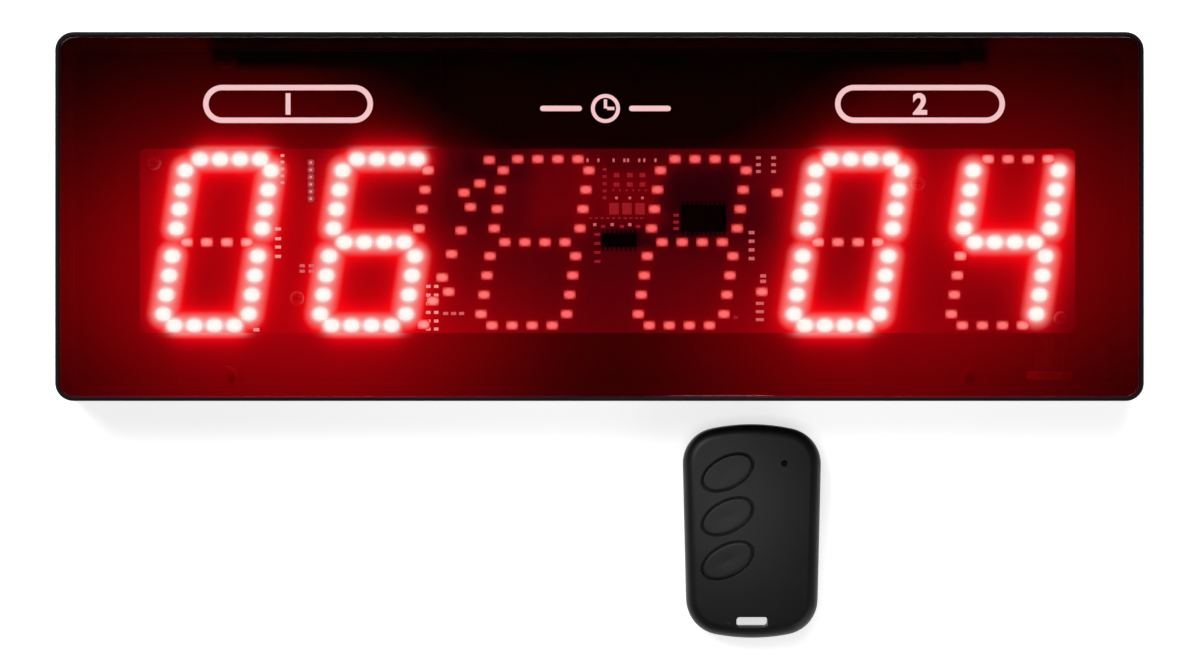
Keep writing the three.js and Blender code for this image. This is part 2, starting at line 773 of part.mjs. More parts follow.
function capacitorGeometry() {
  const waist = capacitorRadius - capacitorGrooveDepth;
  const profile = [
    [0, 0],
    [capacitorRadius, 0],
    [capacitorRadius, capacitorGrooveHeight / 2],
    [waist, capacitorGrooveHeight],
    [capacitorRadius, (3 * capacitorGrooveHeight) / 2],
    [capacitorRadius, capacitorHeight - capacitorGrooveDepth],
    [waist, capacitorHeight],
    [0, capacitorHeight],
  ];
  return turned(profile);
}

// The receiver hangs on four pins under the display board; its screening can faces away from it
function receiverGeometry() {
  const plate = toSolid(block(receiverLength, receiverWidth, receiverThickness));
  const can = block(receiverCanLength, receiverCanWidth, receiverThickness + receiverCanHeight);
  const pins = [];
  for (let i = 0; i < receiverPins; i += 1) {
    const x = receiverLength / 2 - receiverPinPitch * (i + 1);
    const y = receiverPinPitch - receiverWidth / 2;
    const pin = block(receiverPinSize, receiverPinSize, receiverDrop + receiverThickness);
    pins.push(pin.translate(x, y, -receiverDrop));
  }
  return toGeometry(joined(plate, [can.translate(receiverPinPitch, 0, 0), ...pins]));
}

// The aerial is one unbroken wire: a straight tail from the receiver, then a rising helix
class AerialCurve extends THREE.Curve {
  getPoint(share, target = new THREE.Vector3()) {
    const tailShare = aerialTail / (aerialTail + 2 * Math.PI * aerialRadius * aerialTurns);
    if (share < tailShare) {
      return target.set((share / tailShare - 1) * aerialTail, -aerialRadius, 0);
    }
    const turn = ((share - tailShare) / (1 - tailShare)) * aerialTurns;
    const angle = 2 * Math.PI * turn;
    return target.set(turn * aerialPitch, -aerialRadius * Math.cos(angle), aerialRadius * Math.sin(angle));
  }
}

function wireShape(radius, sides) {
  const points = [];
  for (let i = 0; i < sides; i += 1) {
    const angle = (2 * Math.PI * i) / sides;
    points.push(new THREE.Vector2(radius * Math.cos(angle), radius * Math.sin(angle)));
  }
  return new THREE.Shape(points);
}

function alongPath(curve, radius, sides, steps) {
  const options = { extrudePath: curve, steps, bevelEnabled: false };
  return new THREE.ExtrudeGeometry(wireShape(radius, sides), options);
}

function aerialGeometry() {
  return alongPath(new AerialCurve(), aerialWire / 2, wireSides, aerialTurns * aerialStepsPerTurn);
}

// Barrel inlet: flange, threaded barrel, open bore and the contact pin standing in it
function inletGeometry() {
  const length = inletFlangeThickness + inletBarrelLength;
  const profile = [
    [0, 0],
    [inletBarrelRadius, 0],
    [inletBarrelRadius, inletBarrelLength],
    [inletFlangeRadius, inletBarrelLength],
    [inletFlangeRadius, length],
    [inletBoreRadius, length],
    [inletBoreRadius, length - inletBoreDepth],
    [inletPinRadius, length - inletBoreDepth],
    [inletPinRadius, length - inletBoreDepth + inletPinLength],
    [0, length - inletBoreDepth + inletPinLength],
  ];
  return turned(profile);
}

function inletNutGeometry() {
  const hexagon = wireShape(nutAcrossCorners / 2, nutSides);
  const hole = new THREE.Path();
  hole.absarc(0, 0, inletBarrelRadius + screwGap, 0, 2 * Math.PI, true);
  hexagon.holes.push(hole);
  return prism(hexagon, nutThickness, roundSides / 2);
}

function leadConnectorGeometry() {
  const shell = toSolid(block(leadConnectorLength, leadConnectorWidth, leadConnectorHeight));
  const pocketLength = leadConnectorLength - 2 * leadConnectorWall;
  const pocketWidth = leadConnectorWidth - 2 * leadConnectorWall;
  const pocket = block(pocketLength, pocketWidth, leadConnectorHeight);
  return toGeometry(cut(shell, [pocket.translate(0, 0, 2 * leadConnectorWall)]));
}

// The lead leaves the connector downwards, sags a little and enters the back of the inlet
function powerLeadGeometry() {
  const startZ = boardBackZ - leadConnectorHeight + leadConnectorWall;
  const inletBackY = inletRecess + inletFlangeThickness + inletBarrelLength + seatGap - caseHeight / 2;
  const start = new THREE.Vector3(boardX + leadConnectorX, boardY + leadConnectorY, startZ);
  const end = new THREE.Vector3(inletX, inletBackY, inletZ);
  const middle = start.clone().lerp(end, 1 / 2);
  const curve = new THREE.CatmullRomCurve3([
    start,
    start.clone().add(new THREE.Vector3(0, 0, -leadStraight)),
    new THREE.Vector3(middle.x, middle.y, coverThickness + leadRadius + leadClearance),
    end.clone().add(new THREE.Vector3(0, leadStraight, 0)),
    end,
  ]);
  return alongPath(curve, leadRadius, leadSides, leadSteps);
}

// Remote outline, drawn in from the full one by an inset: top arc, corners, tapering sides, bottom arc
function remoteOutline(inset) {
  const radius = remoteCornerRadius - inset;
  const end = remoteEnd(remoteTopArcRadius - inset, remoteTopHalfWidth - inset, radius, inset);
  const foot = remoteEnd(remoteBottomArcRadius - inset, remoteBottomHalfWidth - inset, radius, inset);
  const right = [];
  right.push(...footToSide(foot));
  for (let i = 1; i < remoteSideSteps; i += 1) {
    const share = i / remoteSideSteps;
    right.push(footToSide(foot).at(-1).clone().lerp(end[0], share));
  }
  right.push(...end);
  const left = right.slice(1, -1).reverse();
  return [...right, ...left.map((point) => new THREE.Vector2(-point.x, point.y))];
}

function footToSide(foot) {
  return foot.map((point) => new THREE.Vector2(point.x, -point.y)).reverse();
}

// Half an end of the remote: the corner arc from the side, then the wide arc up to the middle
function remoteEnd(arcRadius, halfWidth, cornerRadius, inset) {
  const arcCentreY = remoteLength / 2 - inset - arcRadius;
  const cornerX = halfWidth - cornerRadius;
  const cornerY = arcCentreY + Math.sqrt((arcRadius - cornerRadius) ** 2 - cornerX ** 2);
  const meeting = Math.atan2(cornerY - arcCentreY, cornerX);
  const points = [];
  for (let i = 0; i < remoteCornerSteps; i += 1) {
    const angle = (meeting * i) / remoteCornerSteps;
    points.push(pointAt(cornerX, cornerY, cornerRadius, angle));
  }
  for (let i = 0; i <= remoteArcSteps; i += 1) {
    const angle = meeting + ((Math.PI / 2 - meeting) * i) / remoteArcSteps;
    points.push(pointAt(0, arcCentreY, arcRadius, angle));
  }
  return points;
}

function pointAt(x, y, radius, angle) {
  return new THREE.Vector2(x + radius * Math.cos(angle), y + radius * Math.sin(angle));
}

// Height of the remote's crowned top over any place on it
function crownZ(x, y) {
  const across = remoteCrownAcross * (x / remoteTopHalfWidth) ** 2;
  const along = remoteCrownAlong * (y / (remoteLength / 2)) ** 2;
  return remoteThickness - across - along;
}

// Closes rings of equal point count into one solid, with a single point in the middle of each end
function loft(rings) {
  const count = rings[0].length;
  const places = rings.flat().flatMap((point) => [point.x, point.y, point.z]);
  const faces = [];
  for (let ring = 0; ring < rings.length - 1; ring += 1) {
    for (let i = 0; i < count; i += 1) {
      const a = ring * count + i;
      const b = ring * count + ((i + 1) % count);
      faces.push(a, b, b + count, a, b + count, a + count);
    }
  }
  const foot = rings.length * count;
  const top = foot + 1;
  for (const [ring, middle] of [[0, foot], [rings.length - 1, top]]) {
    const centre = new THREE.Vector3();
    for (const point of rings[ring]) centre.addScaledVector(point, 1 / count);
    if (middle === top) centre.setZ(rings[ring].topZ ?? centre.z);
    places.push(centre.x, centre.y, centre.z);
    for (let i = 0; i < count; i += 1) {
      const a = ring * count + i;
      const b = ring * count + ((i + 1) % count);
      if (middle === foot) faces.push(b, a, middle);
      else faces.push(a, b, middle);
    }
  }
  const geometry = new THREE.BufferGeometry();
  geometry.setAttribute("position", new THREE.Float32BufferAttribute(places, 3));
  geometry.setIndex(faces);
  return geometry;
}

// A remote-shaped block with a rounded upper edge and a crowned top, lowered by a drop
function crownedBlock(inset, drop, edgeRadius, footZ) {
  const rings = [remoteOutline(inset).map((point) => new THREE.Vector3(point.x, point.y, footZ))];
  for (let i = 0; i <= edgeSteps; i += 1) {
    const angle = ((Math.PI / 2) * i) / edgeSteps;
    const ringInset = inset + edgeRadius * (1 - Math.cos(angle));
    const fall = drop + edgeRadius * (1 - Math.sin(angle));
    rings.push(remoteOutline(ringInset).map((p) => new THREE.Vector3(p.x, p.y, crownZ(p.x, p.y) - fall)));
  }
  const edge = remoteOutline(inset + edgeRadius);
  for (const share of crownShares) {
    const ring = edge.map((p) => new THREE.Vector3(p.x * share, p.y * share, 0));
    for (const point of ring) point.setZ(crownZ(point.x, point.y) - drop);
    rings.push(ring);
  }
  rings.at(-1).topZ = remoteThickness - drop;
  return loft(rings);
}

// A remote-shaped tray block: flat foot with a rounded lower edge, straight walls above it
function trayBlock(inset, footZ, edgeRadius, topZ) {
  const rings = [];
  for (let i = 0; i <= edgeSteps; i += 1) {
    const angle = ((Math.PI / 2) * i) / edgeSteps;
    const ringInset = inset + edgeRadius * (1 - Math.sin(angle));
    const z = footZ + edgeRadius * (1 - Math.cos(angle));
    rings.push(remoteOutline(ringInset).map((point) => new THREE.Vector3(point.x, point.y, z)));
  }
  rings.push(remoteOutline(inset).map((point) => new THREE.Vector3(point.x, point.y, topZ)));
  return loft(rings);
}

function remotePrism(inset, fromZ, toZ) {
  return prism(new THREE.Shape(remoteOutline(inset)), toZ - fromZ).translate(0, 0, fromZ);
}

function keyPlace(index) {
  return new THREE.Vector2(keyX, firstKeyY - index * keyPitch);
}

function ovalRod(outset, fromZ, toZ) {
  const shape = ovalShape(keyWellHalfLength + outset, keyWellHalfWidth + outset, keyTilt);
  return prism(shape, toZ - fromZ, ovalSides / 2).translate(0, 0, fromZ);
}

function lanyardSlot(outset, fromZ, toZ) {
  const length = lanyardSlotLength + 2 * outset;
  const width = lanyardSlotWidth + 2 * outset;
  const shape = roundedRectangle(length, width, width / 2);
  return prism(shape, toZ - fromZ, smallCornerSteps).translate(0, lanyardSlotY, fromZ);
}

// Front shell: crowned, hollow, with the key wells, indicator hole, walled slot, bosses and a rebate
function remoteFrontShellGeometry() {
  const footZ = remotePartingZ + remotePartingGap;
  const outer = toSolid(crownedBlock(0, 0, remoteEdgeRadius, footZ));
  const hollow = crownedBlock(remoteWall, remoteTopWall, remoteEdgeRadius - remoteWall, footZ - cutOverrun);
  const slotWall = lanyardSlot(lanyardSlotWall, footZ, remoteThickness);
  const bosses = remoteScrewPlaces.map((place) => {
    const boss = rod(remoteBossRadius, remoteThickness - remoteBossMeet, smallRoundSides);
    return boss.translate(place.x, place.y, remoteBossMeet);
  });
  const inside = joined(toSolid(slotWall), bosses).intersect(outer);
  const shell = outer.subtract(toSolid(hollow)).add(inside);
  const wells = Array.from({ length: keyCount }, (_, i) => {
    const well = ovalRod(0, remoteBossMeet, remoteThickness + cutOverrun);
    return well.translate(keyPlace(i).x, keyPlace(i).y, 0);
  });
  const lightHole = rod(indicatorHoleRadius, remoteThickness, smallRoundSides);
  const slot = lanyardSlot(0, 0, remoteThickness + cutOverrun);
  const rebate = remotePrism(remoteWall / 2, footZ - cutOverrun, footZ + remoteLipHeight + slideGap);
  const rebateKeep = lanyardSlot(lanyardSlotWall, footZ - 2 * cutOverrun, remoteThickness);
  const rebateRing = cut(toSolid(rebate), [rebateKeep]);
  const pilots = remoteScrewPlaces.map((place) => {
    const hole = rod(remoteScrewShankRadius + screwGap, remoteScrewLength, smallRoundSides);
    return hole.translate(place.x, place.y, remoteScrewZ() + slideGap);
  });
  lightHole.translate(indicatorX, indicatorY, footZ);
  return toGeometry(cut(shell, [...wells, lightHole, slot, toGeometry(rebateRing), ...pilots]));
}

function remoteScrewZ() {
  return remoteScrewRecess + remoteScrewHeadHeight;
}

// Rear shell: a tray with a lip that enters the front shell, a walled slot and two screw towers
function remoteRearShellGeometry() {
  const outer = toSolid(trayBlock(0, 0, remoteRearEdgeRadius, remotePartingZ));
  const lip = remotePrism(remoteWall / 2 + screwGap, remoteWall, remotePartingZ + remoteLipHeight);
  const hollowEdge = remoteRearEdgeRadius - remoteWall;
  const topZ = remotePartingZ + remoteLipHeight + cutOverrun;
  const hollow = trayBlock(remoteWall, remoteWall, hollowEdge, topZ);
  const slotWall = lanyardSlot(lanyardSlotWall, remoteWall / 2, remotePartingZ);
  const slotRoom = lanyardSlot(lanyardSlotWall + slideGap, remotePartingZ, topZ);
  const towers = remoteScrewPlaces.map((place) => {
    const height = remoteBossMeet - seatGap - remoteWall / 2;
    return rod(remoteBossRadius, height, smallRoundSides).translate(place.x, place.y, remoteWall / 2);
  });
  const walls = cut(joined(outer, [lip]), [hollow, slotRoom]);
  const shell = joined(walls, [slotWall, ...towers]);
  const screwHoles = remoteScrewPlaces.flatMap((place) => {
    const through = rod(remoteScrewShankRadius + screwGap, remoteThickness, smallRoundSides);
    const depth = remoteScrewZ() + seatGap + cutOverrun;
    const sink = rod(remoteScrewHeadRadius + screwGap, depth, smallRoundSides);
    return [through, sink].map((hole) => hole.translate(place.x, place.y, -cutOverrun));
  });
  return toGeometry(cut(shell, [lanyardSlot(0, -cutOverrun, remoteThickness), ...screwHoles]));
}

// A key: its top follows the shell's crown, a flange stays under the shell, a stem meets the switch
function keyCapGeometry(index) {
  const place = keyPlace(index);
  const cap = toSolid(ovalRod(-keyWellGap, keyFlangeZ, remoteThickness + cutOverrun));
  const flange = toSolid(ovalRod(keyFlangeReach, keyFlangeZ, remoteThickness + cutOverrun));
  const overTop = movedCrown(-keyProud, place);
  const underShell = movedCrown(remoteTopWall + slideGap, place);
  const body = cap.intersect(overTop).add(flange.intersect(underShell));
  const hollow = ovalRod(-keyWellGap - keyHollowWall, keyFlangeZ - cutOverrun, keyHollowTop(place));
  const stem = rod(keyStemRadius, keyHollowTop(place) + seatGap - keyStemZ).translate(0, 0, keyStemZ);
  return toGeometry(joined(cut(body, [hollow]), [stem]));
}

function keyHollowTop(place) {
  return crownZ(place.x, place.y) - remoteTopWall;
}

function movedCrown(drop, place) {
  const crown = crownedBlock(0, drop, remoteEdgeRadius, remotePartingZ);
  return toSolid(crown.translate(-place.x, -place.y, 0));
}

// Board of the remote: the inner outline cut straight above the slot, with room for the screw towers
function remoteBoardGeometry() {
  const plate = toSolid(remotePrism(remoteWall + remoteBoardGap, 0, remoteBoardThickness));
  const edgeY = lanyardSlotY + lanyardSlotWidth / 2 + lanyardSlotWall + remoteBoardGap;
  const below = block(remoteLength, remoteLength, remoteBoardThickness + 2 * cutOverrun);
  const holes = remoteScrewPlaces.map((place) => {
    const hole = rod(remoteBossRadius + slideGap, remoteBoardThickness + 2 * cutOverrun, smallRoundSides);
    return hole.translate(place.x, place.y, -cutOverrun);
  });
  return toGeometry(cut(plate, [below.translate(0, edgeY - remoteLength / 2, -cutOverrun), ...holes]));
}

function batteryGeometry() {
  const step = batteryThickness / 4;
  const profile = [
    [0, 0],
    [batteryRadius - 2 * batteryEdgeBevel, 0],
    [batteryRadius - 2 * batteryEdgeBevel, step],
    [batteryRadius, step + batteryEdgeBevel],
    [batteryRadius, batteryThickness - batteryEdgeBevel],
    [batteryRadius - batteryEdgeBevel, batteryThickness],
    [0, batteryThickness],
  ];
  return turned(profile);
}

// A bent strip under the battery whose two legs reach up to the board
function batteryClipGeometry() {
  const half = batteryRadius + slideGap;
  const rise = remoteBoardZ - seatGap / 2 - clipZ;
  const profile = new THREE.Shape([
    new THREE.Vector2(-half - clipThickness, 0),
    new THREE.Vector2(half + clipThickness, 0),
    new THREE.Vector2(half + clipThickness, rise),
    new THREE.Vector2(half, rise),
    new THREE.Vector2(half, clipThickness),
    new THREE.Vector2(-half, clipThickness),
    new THREE.Vector2(-half, rise),
    new THREE.Vector2(-half - clipThickness, rise),
  ]);
  return prism(profile, clipWidth).translate(0, 0, -clipWidth / 2).rotateX(Math.PI / 2);
}

// Tactile switch: a square body with a round well that the plunger slides in
function switchBodyGeometry() {
  const body = toSolid(draftedBlock(switchSize, switchSize, switchHeight, leadThickness));
  const well = rod(plungerRadius + slideGap, plungerDepth + keyTravel + cutOverrun, smallRoundSides);
  return toGeometry(cut(body, [well.translate(0, 0, switchHeight - plungerDepth - keyTravel)]));
}

function plungerGeometry() {
  return rod(plungerRadius, plungerDepth + plungerProud, smallRoundSides);
}

// Indicator lamp: a collar and a domed lens
function indicatorGeometry() {
  const topZ = crownZ(indicatorX, indicatorY) - remoteTopWall - seatGap - remoteBoardTopZ - seatGap;
  const profile = [[0, 0], [indicatorFlangeRadius, 0], [indicatorFlangeRadius, indicatorFlangeHeight]];
  for (let i = 0; i < edgeSteps; i += 1) {
    const angle = ((Math.PI / 2) * i) / edgeSteps;
    const z = topZ - indicatorRadius + indicatorRadius * Math.sin(angle);
    if (i === 0) profile.push([indicatorRadius, indicatorFlangeHeight]);
    profile.push([indicatorRadius * Math.cos(angle), z]);
  }
  profile.push([0, topZ]);
  return turned(profile, smallRoundSides);
}

// Assembly
function scoreboardGroup() {
  const group = new THREE.Group();
  group.add(piece("case_frame", caseFrameGeometry(), "blackCase", 0, 0, caseBackZ));
  group.add(piece("front_panel", frontPanelGeometry(), "redPanel", 0, 0, panelBackZ));
  group.add(piece("panel_tape", panelTapeGeometry(), "tape", 0, 0, tapeTopZ - tapeThickness));
  group.add(piece("rear_cover", rearCoverGeometry(), "blackCase", 0, 0, 0));
  caseBossPlaces().forEach((place, index) => {
    const sizes = [rearScrewShankRadius, rearScrewHeadRadius, rearScrewHeadHeight, rearScrewLength];
    const z = rearScrewRecess + rearScrewHeadHeight;
    const fastener = piece(`rear_screw_${index + 1}`, screw(...sizes), "blackSteel", place.x, place.y, z);
    fastener.rotation.x = Math.PI;
    group.add(fastener);
  });
  return group.add(displayGroup(), inletGroup());
}

function displayGroup() {
  const group = new THREE.Group();
  group.position.set(boardX, boardY, 0);
  group.add(piece("display_board", displayBoardGeometry(), "board", 0, 0, boardBackZ));
  boardScrewPlaces().forEach((place, index) => {
    const sizes = [boardScrewShankRadius, boardScrewHeadRadius, boardScrewHeadHeight, boardScrewLength];
    const z = boardTopZ + seatGap;
    group.add(piece(`board_screw_${index + 1}`, screw(...sizes), "blackSteel", place.x, place.y, z));
  });
  return group.add(...boardFrontParts(), ...boardBackParts());
}

function boardFrontParts() {
  const z = boardTopZ + seatGap / 2;
  const rows = [
    ["led_driver", chip(driverChip), driverChip],
    ["logic_chip", chip(logicChip), logicChip],
    ["programming_header", programmingHeaderGeometry(), headerPlace()],
  ];
  return rows.map(([name, geometry, place]) => piece(name, geometry, "chip", place.x, place.y, z));
}

function headerPlace() {
  return new THREE.Vector2(headerSideInset - boardWidth / 2, boardHeight / 2 - headerTopInset);
}

// Parts soldered to the back of the board stand upside down under it
function boardBackParts() {
  const back = new THREE.Group();
  back.position.set(0, 0, boardBackZ - seatGap / 2);
  back.rotation.x = Math.PI;
  const rows = [
    ["microcontroller", chip(controllerChip), "chip", controllerChip],
    ["clock_crystal", crystalGeometry(), "steel", { x: crystalX, y: crystalY }],
    ["power_regulator", regulatorGeometry(), "chip", { x: regulatorX, y: regulatorY }],
    ["filter_capacitor", capacitorGeometry(), "sleeve", { x: capacitorX, y: capacitorY }],
    ["lead_connector", leadConnectorGeometry(), "whitePlastic", { x: leadConnectorX, y: leadConnectorY }],
  ];
  for (const [name, geometry, material, place] of rows) {
    back.add(piece(name, geometry, material, place.x, -place.y, 0));
  }
  back.add(piece("receiver_board", receiverGeometry(), "remoteBoard", receiverX, -receiverY, receiverDrop));
  const aerialX = receiverX + receiverLength / 2 + aerialTail + seatGap;
  const aerialY = -receiverY + aerialRadius;
  const aerialZ = receiverDrop + receiverThickness / 2;
  back.add(piece("receiver_aerial", aerialGeometry(), "copper", aerialX, aerialY, aerialZ));
  return [back];
}

function inletGroup() {
  const group = new THREE.Group();
  const outerY = -caseHeight / 2 + inletRecess;
  const barrelEndY = outerY + inletFlangeThickness + inletBarrelLength;
  const inlet = piece("power_inlet", inletGeometry(), "chip", inletX, barrelEndY, inletZ);
  inlet.rotation.x = Math.PI / 2;
  const padY = -caseHeight / 2 + caseWall + inletPadThickness;
  const nut = piece("inlet_nut", inletNutGeometry(), "steel", inletX, padY + seatGap, inletZ);
  nut.rotation.x = -Math.PI / 2;
  return group.add(inlet, nut, piece("power_lead", powerLeadGeometry(), "leadSheath", 0, 0, 0));
}

function remoteGroup() {
  const group = new THREE.Group();
  group.position.set(remoteX, remoteY, 0);
  group.add(piece("remote_front_shell", remoteFrontShellGeometry(), "remoteShell", 0, 0, 0));
  group.add(piece("remote_rear_shell", remoteRearShellGeometry(), "remoteShell", 0, 0, 0));
  group.add(piece("remote_board", remoteBoardGeometry(), "remoteBoard", 0, 0, remoteBoardZ));
  group.add(piece("battery", batteryGeometry(), "steel", batteryX, batteryY, batteryZ));
  group.add(piece("battery_clip", batteryClipGeometry(), "steel", batteryX, batteryY, clipZ));
  const padSpring = rod(padSpringRadius, padSpringThickness, smallRoundSides);
  group.add(piece("battery_contact", padSpring, "copper", batteryX, batteryY, padSpringZ));
  group.add(piece("remote_chip", chip(remoteChip), "chip", remoteChip.x, remoteChip.y, switchZ));
  const resonator = rod(resonatorRadius, resonatorHeight, smallRoundSides);
  group.add(piece("remote_resonator", resonator, "steel", resonatorX, resonatorY, switchZ));
  const indicatorZ = remoteBoardTopZ + seatGap;
  group.add(piece("remote_indicator", indicatorGeometry(), "indicator", indicatorX, indicatorY, indicatorZ));
  remoteScrewPlaces.forEach((place, index) => {
    const sizes = [remoteScrewShankRadius, remoteScrewHeadRadius, remoteScrewHeadHeight, remoteScrewLength];
    const z = remoteScrewZ();
    const fastener = piece(`remote_screw_${index + 1}`, screw(...sizes), "steel", place.x, place.y, z);
    fastener.rotation.x = Math.PI;
    group.add(fastener);
  });
  for (let index = 0; index < keyCount; index += 1) group.add(keyGroup(index));
  return group;
}

function keyGroup(index) {
  const group = new THREE.Group();
  const place = keyPlace(index);
  const number = index + 1;
  group.position.set(place.x, place.y, 0);
  group.add(piece(`key_cap_${number}`, keyCapGeometry(index), "remoteKey", 0, 0, 0));
  group.add(piece(`switch_body_${number}`, switchBodyGeometry(), "chip", 0, 0, switchZ));
  const plungerZ = switchTopZ - plungerDepth;
  return group.add(piece(`switch_plunger_${number}`, plungerGeometry(), "whitePlastic", 0, 0, plungerZ));
}

const scoreboard = new THREE.Group();
scoreboard.add(scoreboardGroup(), remoteGroup());
export default scoreboard;
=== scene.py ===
"""Electronic scoreboard with its hand remote: finished surfaces, materials, stage and camera.

Everything is in metres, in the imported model's own frame: X runs along the scoreboard, Y is the display's
up direction, Z comes out of the display. Laid out as an add-on, and run as a script.
"""

from functools import partial

import bmesh
import bpy
import numpy as np
from bpy.props import FloatProperty, FloatVectorProperty, PointerProperty
from mathutils import Matrix, Vector


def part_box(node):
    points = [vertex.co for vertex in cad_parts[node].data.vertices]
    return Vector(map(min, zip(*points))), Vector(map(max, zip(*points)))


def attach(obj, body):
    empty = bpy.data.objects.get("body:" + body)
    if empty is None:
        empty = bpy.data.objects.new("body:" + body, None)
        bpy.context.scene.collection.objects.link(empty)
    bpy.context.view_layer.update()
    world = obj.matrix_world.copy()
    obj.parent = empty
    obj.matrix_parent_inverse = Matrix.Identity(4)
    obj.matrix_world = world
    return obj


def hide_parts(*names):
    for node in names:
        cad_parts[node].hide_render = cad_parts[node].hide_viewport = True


bl_info = {
    "name": "Scoreboard and Remote",
    "version": (1, 0, 0),
    "blender": (4, 5, 0),
    "location": "3D View > Sidebar > Scoreboard",
    "description": "Finished surfaces of an electronic scoreboard and its three-key hand remote",
    "category": "Add Mesh",
}

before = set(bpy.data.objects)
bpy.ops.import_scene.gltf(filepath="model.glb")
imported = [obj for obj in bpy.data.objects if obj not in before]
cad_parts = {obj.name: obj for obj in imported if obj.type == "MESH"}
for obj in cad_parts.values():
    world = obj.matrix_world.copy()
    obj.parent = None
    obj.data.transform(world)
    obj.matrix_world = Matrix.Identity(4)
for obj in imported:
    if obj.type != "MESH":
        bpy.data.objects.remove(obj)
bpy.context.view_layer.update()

MM = 0.001

# Sizes that the solids were made with, in metres
CASE_CORNER = 5 * MM
CASE_WALL = 2.5 * MM
CASE_EDGE = 0.45 * MM
RIM = 1 * MM
SMALL_EDGE = 0.15 * MM
LEDGE = 5 * MM
LEDGE_THICKNESS = 2 * MM
TAPE_SINK = 0.25 * MM
PANEL_GAP = 0.3 * MM
PANEL_EDGE = 0.25 * MM
BOARD_CORNER = 1.5 * MM
BOSS_RADIUS = 3.6 * MM
BOSS_INSETS = (46 * MM, 3.5 * MM)
INLET_PAD = (15.6 * MM, 5.2 * MM, 2.8 * MM)
INLET_HOLES = ((4.3 * MM, 8 * MM), (5.9 * MM, 1.65 * MM))

# Digits and lamps, from the middle of the display
DISPLAY = np.array([3.3, -7.0]) * MM
DIGIT_PITCH = 43.5 * MM
DIGIT_HALF_HEIGHT = 23 * MM
DIGIT_HALF_WIDTH = 11.85 * MM
SLANT = np.tan(np.radians(8.8))
ROW_PITCH = 5.55 * MM
COLUMN_PITCH = 5.35 * MM
COLUMN_SPREAD = 0.35 * MM
PAIR_SHIFTS = np.array([-0.4, 0.6, 0.2]) * MM
COLON_HALF_HEIGHT = 13.7 * MM
STROKE_PITCH = np.array([2.6, 6.5]) * MM
LIT_SEGMENTS = ("abcdef", "acdefg", "", "", "abcdef", "bcfg")

# Light round a lamp: level, reach and power of level / (1 + (distance / reach)^power)
RED_NEAR = (0.79, 3.72 * MM, 4.3)
RED_WIDE = (0.087, 7 * MM, 4)
RED_OF_DARK = (0.06, 2.2 * MM, 5)
WHITE_CORE = (0.72, 2.2 * MM, 8.5)
CORE_SPREADS = {"row": (1.04, 0.86), "column": (1.0, 0.86)}
HALO_LEVEL, HALO_POWER = 0.27, 1.7
HALO_REACH_OF_ROW, HALO_REACH_OF_COLUMN = 4.1 * MM, 4.9 * MM
# Painted red lamp light that lies over the whole board
BOARD_RED_LIGHT = 0.064
BRIGHTEST = 0.98
GREEN_OF_WHITE, BLUE_OF_WHITE, LEAST_BLUE = 1.05, 0.995, 0.002

# Light of each lit digit on the board: digit, level, height of its middle
BOARD_SPILL = ((0, 0.27, -2 * MM), (1, 0.41, -40 * MM), (4, 0.31, -40 * MM), (5, 0.28, 1 * MM))
BOARD_SPILL_REACH = (41.5 * MM, 22.2 * MM)
# The same on the inside of the case, and the lit rows that shine past the board: digit, end
CASE_SPILL = ((0, 0.3, -14 * MM), (1, 0.22, -26 * MM), (4, 0.19, -25 * MM), (5, 0.2, -7 * MM))
CASE_SPILL_REACH = (44.5 * MM, 35.9 * MM)
OUTER_ROWS = ((0, 1), (0, -1), (1, 1), (1, -1), (4, 1), (4, -1))
UPPER_ROW_SHIFT = 0.7 * MM
ROW_HALF_LENGTH, ROW_RED_REACH, ROW_PALE = 10.5 * MM, 4 * MM, 0.68
INSIDE_RED, INSIDE_PALE, INSIDE_STRENGTH = (1.0, 0.0, 0.08, 1), (1.0, 13.5, 9.3, 1), 1.4
# Space that the light inside the case reaches, from the back and up to below the rim, and the inlet's holes
INSIDE_ABOVE, INSIDE_BELOW = 2.45 * MM, 3.1 * MM
BORE_RADIUS, WALL_HOLE_RADIUS = 3.4 * MM, 6 * MM
# Shade inside the case: share, x and y between light and full shade; the middle patch has slanting ends
TOP_SHADE = (0.99, (110 * MM, 106 * MM), (40.5 * MM, 43.5 * MM))
MIDDLE_SHADE = (0.98, (60 * MM, 32 * MM), (16 * MM, 22 * MM))
MIDDLE_PLACE, MIDDLE_SLOPE = (2 * MM, 24 * MM), 1.6
BOSS_SHADES, BOSS_SHADE_REACH = (0.4, (-101.5 * MM, 102.5 * MM), -44.8 * MM), 1.3 * MM
# Patches of painted shade and painted light on the board's lamp light, in mm: x, y, half width, half height,
# factor
BOARD_SHADE_AND_LIGHT_PATCHES = (
    (29.6, 4.2, 11.0, 12.0, 0.22),
    (29.6, 3.0, 8.0, 6.5, 0.5),
    (44.0, 0.5, 5.0, 7.0, 0.5),
    (18.5, 5.5, 3.5, 4.0, 0.45),
    (15.8, -5.9, 14.0, 2.6, 0.15),
    (-31.5, 15.5, 12.0, 4.6, 0.35),
    (-36.5, 6.0, 7.0, 10.0, 0.6),
    (-10.8, 6.0, 8.5, 9.0, 2.0),
    (8.5, 6.0, 9.0, 6.5, 2.2),
)

